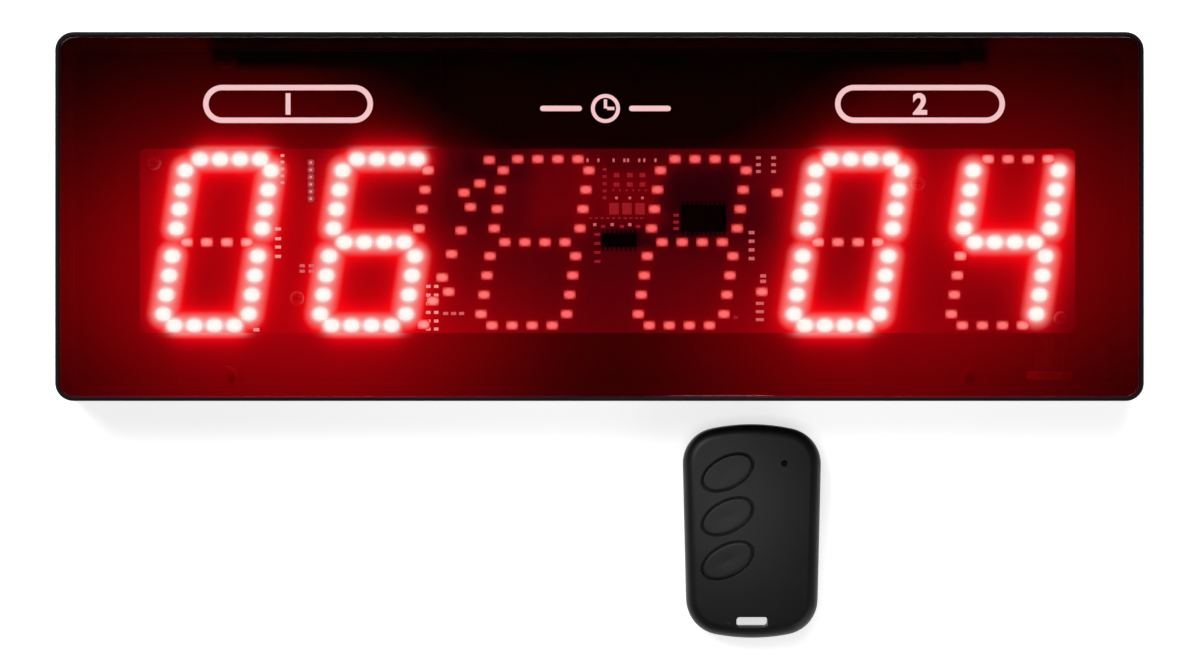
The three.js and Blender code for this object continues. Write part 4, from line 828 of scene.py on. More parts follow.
def lit_material(name, colour, roughness, sparkle=0.0):
    """A surface that carries its own light, the colour stored on its points, with an uneven sparkle."""
    pattern = speckled(2500.0, 3.0)
    material, tree, shader = patterned_material(
        name, colour, roughness, pattern, (0.8, 1.2), (0.85, 1.15), 0.02 * MM, 0.3, Emission_Strength=1.0
    )
    light = tree.read("ShaderNodeAttribute", "Color", attribute_name="glow")
    if sparkle:
        scale = tree.between(pattern(tree)[0], 1 - sparkle, 1 + sparkle)
        light = tree.read("ShaderNodeVectorMath", "Vector", {0: light, "Scale": scale}, operation="SCALE")
    tree.put(shader, "Emission Color", light)
    material.cycles.emission_sampling = "NONE"


class SCOREBOARD_OT_materials(bpy.types.Operator):
    """Makes the shared node groups and every material."""

    bl_idname = "scoreboard.materials"
    bl_label = "Materials"

    def execute(self, context):
        colours, grain = context.scene.scoreboard_colours, context.scene.scoreboard_sizes.grain
        moulded_grain_group()
        handled_edges_group()
        dust_group()
        brushed_lines_group()
        inside_glow_group()
        moulded_material("case plastic", colours.case, 0.55, grain, 0.04 * MM, glow=True, specular=0.11)
        moulded_material("cover plastic", colours.case, 0.55, grain * 1.3, 0.06 * MM, glow=True, specular=0.2)
        remote, edged = colours.remote, {"edges": True, "specular": 0.24}
        moulded_material("remote plastic", remote, 0.44, grain * 0.8, 0.03 * MM, **edged)
        moulded_material("key plastic", colours.key, 0.46, grain * 0.7, 0.02 * MM, edges=True, specular=0.25)
        moulded_material("chip plastic", (0.003, 0.0025, 0.003), 0.6, 0.2 * MM, 0.02 * MM, specular=0.08)
        moulded_material("inlet plastic", (0.012, 0.012, 0.013), 0.4, 0.2 * MM, 0.02 * MM, glow=True)
        # Stored light: painted lamp light on the board, the dark lamps, the solder parts and board screws;
        # the lit lamps' own light
        lit_material("board top", colours.board, 0.5, sparkle=0.06)
        lit_material("lit lamp", (0.5, 0.4, 0.4), 0.4)
        lit_material("dark lamp", (0.3, 0.2, 0.2), 0.4, sparkle=0.03)
        lit_material("solder", (0.3, 0.25, 0.25), 0.4, sparkle=0.25)
        clear = {"IOR": 1.49, "Transmission_Weight": 1.0, "Metallic": 0.0}
        patterned_material("dark red acrylic", colours.panel, 0.02, hairlines, (0.97, 1.03), (1, 3), **clear)
        patterned_material("panel ink", colours.ink, 0.5, speckled(600.0), (0.94, 1.04), None, 0.01 * MM, 0.3)
        laminate = (0.02, 0.09, 0.04)
        patterned_material("green laminate", laminate, 0.35, woven, (0.75, 1.2), (0.8, 9 / 7), 0.02 * MM)
        lens, pattern = (0.006, 0.001, 0.001), speckled(1500.0, 2.0, 0.5)
        patterned_material("indicator lens", lens, 0.3, pattern, (0.67, 1.33), None, Coat_Weight=0.1)
        for name, colour, roughness, glow in (
            ("bright steel", (0.6, 0.6, 0.61), 0.3, False),
            ("dark steel", (0.03, 0.028, 0.03), 0.4, False),
            ("nut steel", (0.45, 0.45, 0.46), 0.35, True),
            ("copper", (0.7, 0.33, 0.16), 0.35, False),
        ):
            looks = (brushed, (0.75, 1.1), (0.7, 1.3), 0.01 * MM)
            patterned_material(name, colour, roughness, *looks, glow=glow, Metallic=1.0)
        for name, colour, roughness, scale, glow in (
            ("tape foam", (0.006, 0.003, 0.003), 0.9, 2500.0, True),
            ("sleeve", (0.012, 0.02, 0.05), 0.35, 300.0, False),
            ("nylon", (0.7, 0.68, 0.6), 0.5, 800.0, False),
            ("lead sheath", (0.02, 0.02, 0.02), 0.6, 1500.0, True),
        ):
            looks = (speckled(scale), (0.8, 1.2), (0.85, 1.15), 0.03 * MM)
            patterned_material(name, colour, roughness, *looks, glow=glow)
        return {"FINISHED"}


# Scoreboard
def case_profile(low_z, high_z, ledge_z):
    """Cross-section of the frame: outer wall, rounded rim, seat, ledge and inner wall, as a closed loop."""
    under, seat, wall = ledge_z - LEDGE_THICKNESS, CASE_CORNER - RIM, CASE_CORNER - CASE_WALL
    return [
        (0, CASE_CORNER, low_z),
        *((inset, CASE_CORNER - inset, high_z - fall) for inset, fall in quarter_bend(CASE_EDGE, 6)),
        (RIM - SMALL_EDGE, seat + SMALL_EDGE, high_z),
        (RIM, seat, high_z - SMALL_EDGE),
        (RIM, seat, ledge_z),
        (LEDGE - SMALL_EDGE, CASE_CORNER, ledge_z),
        (LEDGE, CASE_CORNER, ledge_z - SMALL_EDGE),
        (LEDGE, CASE_CORNER, under),
        (CASE_WALL, wall, under),
        (CASE_WALL, wall, low_z),
    ]


class SCOREBOARD_OT_case(bpy.types.Operator):
    """Frame of the case, swept round its rounded outline, with its bosses and the hole for the inlet."""

    bl_idname = "scoreboard.case"
    bl_label = "Case frame"

    def execute(self, context):
        low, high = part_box("case_frame")
        ledge_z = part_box("panel_tape")[0].z - TAPE_SINK
        width, height = high.x - low.x, high.y - low.y
        inlet, (side, thickness, inward) = middle_of("power_inlet"), INLET_PAD
        pad = moved(box_surface(side, thickness, side), inlet.x, low.y + inward, inlet.z - side / 2)
        steps = [("UNION", pad)]
        for radius, depth in INLET_HOLES:
            points, faces = cylinder(radius, low.y - 1 * MM, low.y + depth, 48)
            along_y = np.column_stack([points[:, 0] + inlet.x, points[:, 2], inlet.z - points[:, 1]])
            steps.append(("DIFFERENCE", (along_y, faces)))
        boss = cylinder(BOSS_RADIUS, low.z + 0.05 * MM, ledge_z - 1 * MM)
        x, y = width / 2 - BOSS_INSETS[0], height / 2 - CASE_WALL - BOSS_INSETS[1]
        for place in ((-x, -y), (-x, y), (x, -y), (x, y)):
            steps.append(("UNION", moved(boss, *place)))
        surface = swept_frame(width, height, case_profile(low.z, high.z, ledge_z))
        mesh = carved("case_frame_piece", surface, steps)
        place_piece(mesh, "case plastic", ["case_frame"])
        return {"FINISHED"}


class SCOREBOARD_OT_panel(bpy.types.Operator):
    """Clear front panel: a slab with rounded corners and polished, slightly broken edges."""

    bl_idname = "scoreboard.panel"
    bl_label = "Front panel"

    def execute(self, context):
        low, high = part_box("front_panel")
        width, height = high.x - low.x, high.y - low.y
        radius, top = CASE_CORNER - RIM - PANEL_GAP, high.z - PANEL_DROP
        bend = ((inset, top - fall) for inset, fall in quarter_bend(PANEL_EDGE, 5))
        rings = [
            flat(rounded_outline(width - 2 * inset, height - 2 * inset, radius - inset, 12), z)
            for inset, z in ((0, low.z), *bend, (PANEL_EDGE + 0.05 * MM, top))
        ]
        mesh = to_mesh("front_panel_piece", lofted(rings), 50)
        place_piece(mesh, "dark red acrylic", ["front_panel"])
        return {"FINISHED"}


def board_surface(width, height, radius, low_z, high_z, spacing):
    """Board with a finely divided top: each row of points is drawn in to the rounded corner of its y."""
    rows, columns = int(round(height / spacing)) + 1, int(round(width / spacing)) + 1
    y = np.linspace(-height / 2, height / 2, rows)
    over = np.clip(np.abs(y) - (height / 2 - radius), 0, radius)
    half = width / 2 - radius + np.sqrt(radius**2 - over**2)
    x = np.linspace(-1, 1, columns)[None, :] * half[:, None]
    points = flat(np.column_stack([x.ravel(), np.repeat(y, columns)]), high_z)
    numbers = np.arange(rows * columns).reshape(rows, columns)
    rim = np.concatenate([numbers[0, :-1], numbers[:-1, -1], numbers[-1, :0:-1], numbers[:0:-1, 0]])
    low_ring = rows * columns + np.arange(len(rim))
    sides = np.stack([low_ring, np.roll(low_ring, -1), np.roll(rim, -1), rim], -1)
    foot = fan(low_ring, rows * columns + len(rim), inward=True)
    points = np.concatenate([points, flat(points[rim, :2], low_z), [[0, 0, low_z]]])
    return points, [grid_faces(rows, columns), sides, foot]


class SCOREBOARD_OT_board(bpy.types.Operator):
    """Display board whose top carries the light of the lit lamps."""

    bl_idname = "scoreboard.board"
    bl_label = "Display board"

    def execute(self, context):
        low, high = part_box("display_board")
        middle, top, grid = (low + high) / 2, board_top(), context.scene.scoreboard_sizes.grid
        surface = board_surface(high.x - low.x, high.y - low.y, BOARD_CORNER, low.z, top, grid)
        mesh = to_mesh("display_board_piece", moved(surface, middle.x, middle.y), 40)
        points = mesh_points(mesh)
        light = glow_at(points, context.scene.scoreboard_colours.panel)
        store_glow(mesh, light * (points[:, 2] > top - 0.1 * MM)[:, None])
        place_piece(mesh, "board top", ["display_board"])
        return {"FINISHED"}


# Rings of a dark lamp, in mm: half length, half width, height, and the red and the white of the painted lamp
# light seen there
LAMP_RINGS = (
    (1.75, 1.4, 0.0, 0.12, 0.0),
    (1.68, 1.25, 1.9, 0.2, 0.01),
    (1.62, 1.1, 1.9, 0.5, 0.04),
    (1.3, 0.84, 1.82, 0.85, 0.1),
    (0.75, 0.48, 1.8, 0.95, 0.145),
)
LAMP_SQUARE_RINGS = 2
LAMP_CORNER = 0.5
# Painted lamp light at the middle of a dark lamp's window
LAMP_MIDDLE = (0.97, 0.153)


def lamp_surface():
    """One lamp and the painted lamp light seen on its points: a drafted block with an oval, slightly sunk
    window.

    The block's rings are rounded rectangles and the window's are ellipses (a cos t, b sin t), 12 points each.
    """
    angles = np.radians(np.add.outer(np.arange(4) * 90, [15, 45, 75]).ravel())
    rings, levels = [], []
    for index, (half_x, half_y, height, red, white) in enumerate(LAMP_RINGS):
        outline = arc(angles, half_x, half_y)
        if index < LAMP_SQUARE_RINGS:
            outline = rounded_outline(2 * half_x, 2 * half_y, LAMP_CORNER, 2)
        rings.append(flat(outline, height) * MM)
        levels.append(np.tile([red, white, white], (len(angles), 1)))
    ends = [[LAMP_RINGS[0][3], 0, 0], [LAMP_MIDDLE[0], LAMP_MIDDLE[1], LAMP_MIDDLE[1]]]
    return lofted(rings), np.concatenate([*levels, ends])


class SCOREBOARD_OT_lamps(bpy.types.Operator):
    """The 88 lit and the 92 dark lamps of the digits, colons and stroke."""

    bl_idname = "scoreboard.lamps"
    bl_label = "Lamps"

    def execute(self, context):
        tint = np.array(context.scene.scoreboard_colours.panel)
        lit, _, dark = lamp_places()
        surface, seen = lamp_surface()
        for kind, places in (("lit", lit), ("dark", dark)):
            mesh = to_mesh(f"lamps_{kind}", repeated(surface, flat(places, board_top())), 30)
            light = glow_at(mesh_points(mesh), tint)
            # Dark lamps show painted light from their lit neighbours and from the board
            if kind == "dark":
                light = self.dark_light(light[:, :1] * tint[0], np.tile(seen, (len(places), 1))) / tint
            store_glow(mesh, light)
            place_piece(mesh, f"{kind} lamp")
        return {"FINISHED"}

    def dark_light(self, around, seen):
        """Dark lamps: the painted light of their rings, brighter beside lit lamps, and never under the
        board's painted red light.
        """
        beside = np.clip((around - 0.25) / 0.3, 0, 1) * (seen[:, :1] > 0.3)
        own = seen * (1 + 1.6 * np.clip(around - 0.1, 0, 1)) + beside * [0.1, 0.06, 0.05]
        return np.column_stack([np.maximum(own[:, :1], around), own[:, 1:]]).clip(0, BRIGHTEST)


# Small parts and solder pads on the front of the board, in mm: painted lamp light, length, width, x places, y
# places
BOARD_PARTS = (
    ("bright", 0.6, 1.0, (-3.3, -0.3, 3.9, 6.9, 7.9, 11.0, 12.4, 15.5), (15.7,)),
    ("plain", 1.6, 1.2, (4.7, 8.4, 11.9), (11.6, 9.0)),
    ("plain", 0.5, 0.5, (3.8, 5.6, 7.5, 9.3, 11.0, 12.8), (7.4,)),
    ("bright", 0.7, 0.7, (4.7, 8.4, 11.9), (5.3,)),
    ("plain", 2.6, 3.2, (4.0, 7.6, 11.2), (2.3,)),
    ("plain", 0.9, 0.4, (-2.5, -0.9, 0.7, 2.3, 3.9, 5.5, 7.1, 8.7, 10.3, 11.7), (-0.3,)),
    ("bright", 0.9, 0.8, (-1.3, 3.5, 8.4), (-2.1,)),
    ("plain", 1.2, 0.8, (1.0, 6.2, 10.7), (-2.6,)),
    ("plain", 1.7, 0.8, (-0.6,), (-4.8, -7.3, -9.8, -12.3)),
    ("plain", 1.1, 0.8, (1.4,), (13.2, 11.2, 9.2, 7.2, 5.3)),
    ("plain", 1.5, 0.8, (21.2,), (0.5, -1.4, -3.2)),
    ("bright", 1.3, 0.8, (44.0, 48.2), (16.4, 14.5, 12.6)),
    ("bright", 1.6, 0.9, (42.1,), (-4.3, -6.7, -9.1, -11.5)),
    ("bright", 1.6, 0.9, (45.3,), (-16.3, -17.8)),
    ("bright", 2.2, 0.8, (44.4,), (-23.9, -26.2, -28.4)),
    ("plain", 1.2, 0.9, (37.7,), (-27.8,)),
    ("strong", 1.2, 0.8, (-47.4, -45.2), (-19.2, -21.6, -24.0, -26.4, -28.8, -31.0)),
    ("bright", 1.4, 0.8, (-42.6, -40.4, -38.2), (-26.7,)),
    ("strong", 1.0, 0.7, (-87.8,), (17.0, 15.2, 13.3, 11.4, 9.5)),
    ("strong", 1.6, 0.8, (-89.0,), (-3.3, -6.0, -8.3, -10.9)),
    ("bright", 1.4, 0.8, (-82.3, -79.8), (-13.5, -15.0)),
    ("strong", 1.6, 0.9, (-95.0,), (-31.2,)),
)
# Painted lamp light on the parts as it looks through the panel: glints on strong and bright pads, dim red on
# plain ones
BOARD_PART_LIGHT = {"strong": (0.9, 0.34, 0.32), "bright": (0.62, 0.12, 0.13), "plain": (0.25, 0.01, 0.016)}
BOARD_PART_HEIGHT, BOARD_PART_DRAFT = 0.35, 0.08
HEADER_PINS, HEADER_PITCH, CELL_SHOULDER, CELL_CORNER = 6, 2 * MM, 1.9 * MM, 0.4 * MM
PIN_WIDTH, PIN_CORNER, PIN_TIP = 0.5 * MM, 0.05 * MM, 0.3 * MM
# Painted lamp light on the header: highlight on the pins, lit tops and shaded sides of the cells
PIN_LIGHT, CELL_TOP_LIGHT, CELL_LIGHT = (0.85, 0.3, 0.32), (0.42, 0.04, 0.05), (0.02, 0, 0)


class SCOREBOARD_OT_board_parts(bpy.types.Operator):
    """Small parts, solder pads and pin header on the front of the board, in painted lamp light."""

    bl_idname = "scoreboard.board_parts"
    bl_label = "Board parts"

    def execute(self, context):
        tint = np.array(context.scene.scoreboard_colours.panel)
        surfaces, light = [], []
        # The first column names each part's painted lamp light, which is stored as its glow
        for tone, along, across, xs, ys in BOARD_PARTS:
            block = box_surface(along * MM, across * MM, BOARD_PART_HEIGHT * MM, BOARD_PART_DRAFT * MM)
            places = np.stack(np.meshgrid(xs, ys), -1).reshape(-1, 2) * MM
            surfaces.append(repeated(block, flat(places, board_top())))
            light.append(np.tile(np.array(BOARD_PART_LIGHT[tone]) / tint, (len(surfaces[-1][0]), 1)))
        mesh = to_mesh("board_parts", together(*surfaces), 30)
        store_glow(mesh, np.concatenate(light))
        place_piece(mesh, "solder")
        self.header(tint)
        return {"FINISHED"}

    def header(self, tint):
        """Pin header: cut-cornered cells with a square pin in each, in painted lamp light: a painted
        highlight on the pins, lit cell tops, shaded cell sides.
        """
        low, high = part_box("programming_header")
        x, y, pin_top = (low.x + high.x) / 2, (low.y + high.y) / 2, high.z - low.z
        rows = (np.arange(HEADER_PINS) - (HEADER_PINS - 1) / 2) * HEADER_PITCH + y
        spots = flat(np.column_stack([np.full(HEADER_PINS, x), rows]), low.z)
        outline = rounded_outline(HEADER_PITCH, HEADER_PITCH, CELL_CORNER, 1)
        cell = lofted([flat(outline, 0), flat(outline, CELL_SHOULDER), flat(outline * 0.7, HEADER_PITCH)])
        outline = rounded_outline(PIN_WIDTH, PIN_WIDTH, PIN_CORNER, 1)
        shoulder = flat(outline, pin_top - PIN_TIP)
        pin = lofted([flat(outline, CELL_SHOULDER), shoulder, flat(outline * 0.5, pin_top)])
        cells, pins = repeated(cell, spots), repeated(pin, spots)
        mesh = to_mesh("programming_header_piece", together(cells, pins), 30)
        is_pin = np.arange(len(cells[0]) + len(pins[0])) >= len(cells[0])
        is_top = mesh_points(mesh)[:, 2] > low.z + (CELL_SHOULDER + HEADER_PITCH) / 2
        seen = np.where(is_pin[:, None], PIN_LIGHT, np.where(is_top[:, None], CELL_TOP_LIGHT, CELL_LIGHT))
        store_glow(mesh, seen / tint)
        place_piece(mesh, "solder", ["programming_header"])


# Kinds of screws: node prefix, shank and head radius and head height in mm, head down, material, body, slot
SCREW_KINDS = (
    ("board_screw", (1.0, 2.0, 1.3), False, "solder", "scoreboard", "dark_steel"),
    ("rear_screw", (1.4, 2.8, 1.1), True, "dark steel", "scoreboard", "dark_steel"),
    ("remote_screw", (0.9, 1.9, 1.0), True, "bright steel", "remote", "bright_steel"),
)


def cross_outline(radius, arm, count):
    """Outline of a cross recess: two bars of half width arm, radius long, at equal steps of angle."""
    across, along = np.maximum(np.abs(arc(turns(count), 1)), 1e-6).T
    reach = np.maximum(np.minimum(radius / across, arm / along), np.minimum(radius / along, arm / across))
    return arc(turns(count), reach)


def screw_surface(shank, head, head_height, full_length, count=64):
    """Screw standing on z = 0, head up: pointed shank, low domed head, cross recess."""
    ring, neck = arc(turns(count), 1), full_length - head_height
    recess = cross_outline(head * 0.6, head * 0.13, count)
    rings = [flat(ring * shank * share, z) for share, z in ((0.25, 0.0), (1.0, 1.2 * shank), (1.0, neck))]
    for share, rise in ((1.0, 0.0), (1.0, 0.45), (0.95, 0.7), (0.8, 0.93), (0.66, 1.0)):
        rings.append(flat(ring * head * share, neck + head_height * rise))
    for share, rise in ((0.98, 1.0), (0.8, 0.5), (0.3, 0.35)):
        rings.append(flat(recess * share, neck + head_height * rise))
    return lofted(rings)


class SCOREBOARD_OT_screws(bpy.types.Operator):
    """Cross-head screws of the board, of the rear cover and of the remote."""

    bl_idname = "scoreboard.screws"
    bl_label = "Screws"

    def execute(self, context):
        tint = context.scene.scoreboard_colours.panel
        for prefix, sizes, head_down, material, body, slot in SCREW_KINDS:
            shank, head, head_height = (size * MM for size in sizes)
            for node in sorted(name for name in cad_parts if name.startswith(prefix)):
                low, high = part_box(node)
                points, faces = screw_surface(shank, head, head_height, high.z - low.z)
                if head_down:
                    points = points * [1, -1, -1]
                place = ((low.x + high.x) / 2, (low.y + high.y) / 2, high.z if head_down else low.z)
                mesh = to_mesh(f"{node}_piece", moved((points, faces), *place), 28)
                # Board screws carry the board's painted lamp light, brighter towards the top of the head
                if prefix == "board_screw":
                    points = mesh_points(mesh)
                    share = np.clip((points[:, 2] - high.z + head_height) / head_height, 0, 1)[:, None]
                    store_glow(mesh, glow_at(points, tint) * (0.35 + 0.5 * share))
                place_piece(mesh, material, [node], body)
        return {"FINISHED"}


# Power inlet, in mm: radii of flange, body, bore and contact pin, thickness of the flange, depth of the bore
INLET_RADII = (5.6, 4, 3, 1)
FLANGE_THICKNESS, BORE_DEPTH, INLET_BEND, PIN_SINK = 1.4, 9.5, 0.3, 1


class SCOREBOARD_OT_inlet(bpy.types.Operator):
    """Barrel inlet: flange with a broken edge, open bore and rounded contact pin, turned about Y."""

    bl_idname = "scoreboard.inlet"
    bl_label = "Power inlet"

    def execute(self, context):
        low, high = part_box("power_inlet")
        middle, end = (low + high) / 2, (high.y - low.y) / MM
        (flange, body, bore, pin), bend = INLET_RADII, INLET_BEND
        seat, bore_foot, tip = end - FLANGE_THICKNESS, end - BORE_DEPTH, end - PIN_SINK
        profile = [(0, 0), (body - bend, 0), (body, bend), (body, seat), (flange, seat), (flange, end - bend)]
        profile += [(flange - bend, end), (bore + bend, end), (bore, end - bend), (bore, bore_foot)]
        profile += [(pin, bore_foot), (pin, tip - 0.4), (pin - bend, tip - 0.05), (0, tip)]
        points, faces = revolved(np.array(profile) * MM, 64)
        points = np.column_stack([points[:, 0] + middle.x, high.y - points[:, 2], points[:, 1] + middle.z])
        mesh = to_mesh("power_inlet_piece", (points, faces))
        place_piece(mesh, "inlet plastic", ["power_inlet"])
        return {"FINISHED"}


# Printed marks on the panel: number and middle of the two outlines, middle and radius of the clock
PILL_MARKS = (("1", -85.8 * MM, 31.0 * MM), ("2", 88.3 * MM, 31.0 * MM))
PILL_SIZE = (46.8 * MM, 10.5 * MM)
NUMBER_HEIGHT = 7.8 * MM
NUMBER_BOLDNESS = 0.3 * MM
CLOCK_MARK = (1.65 * MM, 29.75 * MM, 4 * MM)
CLOCK_WIDTH = 36 * MM
CLOCK_GAP = 2.5 * MM
LINE = 1.5 * MM
HAND = 0.9 * MM
INK_THICKNESS = 0.025 * MM
PANEL_DROP = 0.02 * MM


def ink_band(width, height, radius, thickness, low, high):
    """A thin flat band that follows a rounded rectangle."""
    inner = radius - thickness
    profile = [(0, radius, low), (0, radius, high), (thickness, inner, high), (thickness, inner, low)]
    return swept_frame(width, height, profile)


def number_mesh(text):
    """A plain number as a thin closed mesh about its own middle."""
    curve = bpy.data.curves.new("number_work", "FONT")
    curve.body, curve.size, curve.extrude = text, NUMBER_HEIGHT, INK_THICKNESS / 2
    curve.align_x, curve.align_y, curve.offset = "CENTER", "CENTER", NUMBER_BOLDNESS
    work = new_object("number_work", curve)
    mesh = evaluated_mesh(work)
    bpy.data.objects.remove(work)
    bpy.data.curves.remove(curve)
    mesh.name = f"mark_number_{text}"
    merge_close_points(mesh, 0.001 * MM)
    return mesh


class SCOREBOARD_OT_marks(bpy.types.Operator):
    """Printed marks of the panel: a number in an outline over each side's digits, and a clock face."""

    bl_idname = "scoreboard.marks"
    bl_label = "Printed marks"

    def execute(self, context):
        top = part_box("front_panel")[1].z
        low = top - INK_THICKNESS
        for number, x, y in PILL_MARKS:
            outline = moved(ink_band(*PILL_SIZE, PILL_SIZE[1] / 2, LINE, low, top), x, y)
            place_piece(to_mesh(f"mark_outline_{number}", outline), "panel ink")
            mesh = number_mesh(number)
            points = mesh_points(mesh)
            shift = np.array([x, y, (low + top) / 2]) - (points.min(0) + points.max(0)) / 2
            mesh.transform(Matrix.Translation(shift))
            place_piece(mesh, "panel ink")
        x, y, radius = CLOCK_MARK
        dial = moved(ink_band(2 * radius, 2 * radius, radius * 0.999, LINE * 0.7, low, top), x, y)
        long_hand = moved(box_surface(HAND, radius * 0.62, INK_THICKNESS), x, y + radius * 0.31, low)
        short_hand = box_surface(radius * 0.5, HAND, INK_THICKNESS)
        short_hand = moved(short_hand, x + radius * 0.25 + HAND / 2, y, low)
        bar_length = CLOCK_WIDTH / 2 - radius - CLOCK_GAP
        bar = prism(rounded_outline(bar_length, LINE, LINE * 0.49, 6), low, top)
        bars = [moved(bar, x + side * (CLOCK_WIDTH - bar_length) / 2, y) for side in (-1, 1)]
        clock = to_mesh("mark_clock", together(dial, long_hand, short_hand, *bars))
        place_piece(clock, "panel ink")
        return {"FINISHED"}


# Remote
def remote_half_end(half_width, inset):
    """Half an end of the outline, drawn in by an inset: the corner arc from the side, then the wide arc.

    The corner circle touches the side line x = half width and the wide arc from inside.
    """
    wide, half_width, corner = REMOTE_ARC - inset, half_width - inset, REMOTE_CORNER - inset
    centre_y, corner_x = REMOTE_LENGTH / 2 - inset - wide, half_width - corner
    rise = np.sqrt((wide - corner) ** 2 - corner_x**2)
    meeting = np.arctan2(rise, corner_x)
    near = arc(np.linspace(0, meeting, 14, endpoint=False), corner) + [corner_x, centre_y + rise]
    return np.concatenate([near, arc(np.linspace(meeting, np.pi / 2, 13), wide) + [0, centre_y]])


def remote_outline(inset):
    """Outline of the remote drawn in by an inset, anticlockwise from the middle of its foot."""
    top, foot = (remote_half_end(half_width, inset) for half_width in REMOTE_HALF_WIDTHS)
    foot = (foot * [1, -1])[::-1]
    share = np.linspace(0, 1, 11)[1:-1, None]
    right = np.concatenate([foot, foot[-1] * (1 - share) + top[0] * share, top])
    return np.concatenate([right, right[1:-1][::-1] * [-1, 1]])


def crown_z(points):
    """Height of the crowned top at x, y: it falls by a square law across and along."""
    across, along = points[:, 0] / REMOTE_HALF_WIDTHS[0], points[:, 1] / (REMOTE_LENGTH / 2)
    return REMOTE_HEIGHT - CROWN[0] * across**2 - CROWN[1] * along**2


def draped(outline, drop):
    """An outline laid on the crowned top, lower by a drop."""
    return flat(outline, crown_z(outline) - drop)


def crowned(inset, drop, edge, foot_z, edge_steps=10, rings_in=14):
    """Remote-shaped block: straight sides, an upper edge of a quarter circle, and the crowned top."""
    rings = [flat(remote_outline(inset), foot_z)]
    for inward, fall in quarter_bend(edge, edge_steps + 1):
        rings.append(draped(remote_outline(inset + inward), drop + fall))
    rim = remote_outline(inset + edge)
    rings += [draped(rim * share, drop) for share in np.linspace(1, 0.02, rings_in + 1)[1:]]
    return lofted(rings)


def tray(inset, foot_z, edge, top_z):
    """Remote-shaped tray block: flat foot, lower edge of a quarter circle, straight walls."""
    rings = [flat(remote_outline(inset + inward), foot_z + rise) for rise, inward in quarter_bend(edge, 9)]
    return lofted([*rings, flat(remote_outline(inset), top_z)])


def crown_hole(outline_at, foot_z, edge):
    """A cutter for a hole in the crowned top whose mouth opens in a quarter circle of the edge radius.

    outline_at(outset) gives the hole's outline in the remote's own frame.
    """
    rings = [flat(outline_at(0.0), foot_z)]
    rings += [draped(outline_at(outward), fall) for outward, fall in quarter_bend(edge, 6)]
    last = outline_at(edge * 1.05)
    return lofted([*rings, draped(last, -0.02 * MM), flat(last, REMOTE_HEIGHT + 1 * MM)])


def well_outline(outset, key_y):
    """Key well grown by an outset: an ellipse (a cos t, b sin t) turned by the keys' tilt."""
    cos, sin = np.cos(KEY_TILT), np.sin(KEY_TILT)
    level = arc(turns(64), KEY_WELL[0] + outset, KEY_WELL[1] + outset)
    return level @ [[cos, sin], [-sin, cos]] + [KEY_X, key_y]


def indicator_outline(outset):
    """Round hole of the indicator grown by an outset."""
    return arc(turns(32), INDICATOR[2] + outset) + INDICATOR[:2]


def slot_outline(outset):
    """Lanyard slot grown by an outset."""
    outline = rounded_outline(SLOT[0] + 2 * outset, SLOT[1] + 2 * outset, SLOT[1] * 0.32 + outset, 6)
    return outline + [0, SLOT[2]]


def store_crown_edge(mesh, proud, near, far, reach):
    """Stores the points' edge value: 0 on the crowned top, 1 a little below it, and 0 far below."""
    local = mesh_points(mesh) - [*REMOTE_CENTRE, 0]
    drop = crown_z(local) + proud - local[:, 2]
    share = np.clip(drop / near, 0, 1) * np.clip(reach - drop / far, 0, 1)
    mesh.attributes.new("edge", "FLOAT", "POINT").data.foreach_set("value", share.astype(np.float32))


def smooth_crown(mesh):
    """Corner normals from the crown's own formula, wherever an upward face has a corner on the crown.

    The normal is (2 c x / w^2, 2 d y / l^2, 1), made one long; every other corner keeps its own.
    """
    points = mesh_points(mesh)
    corner_points, sizes = np.zeros(len(mesh.loops), np.int32), np.zeros(len(mesh.polygons), np.int32)
    upward = np.zeros(len(mesh.polygons) * 3, np.float32)
    mesh.loops.foreach_get("vertex_index", corner_points)
    mesh.polygons.foreach_get("loop_total", sizes)
    mesh.polygons.foreach_get("normal", upward)
    upward = np.repeat(upward.reshape(-1, 3)[:, 2] > 0.9, sizes)
    chosen = upward & (np.abs(points[:, 2] - crown_z(points)) < 0.02 * MM)[corner_points]
    halves = np.array([REMOTE_HALF_WIDTHS[0], REMOTE_LENGTH / 2])
    normals = flat(2 * np.array(CROWN) * points[corner_points, :2] / halves**2, 1)
    normals /= np.linalg.norm(normals, axis=1)[:, None]
    mesh.normals_split_custom_set((normals * chosen[:, None]).tolist())


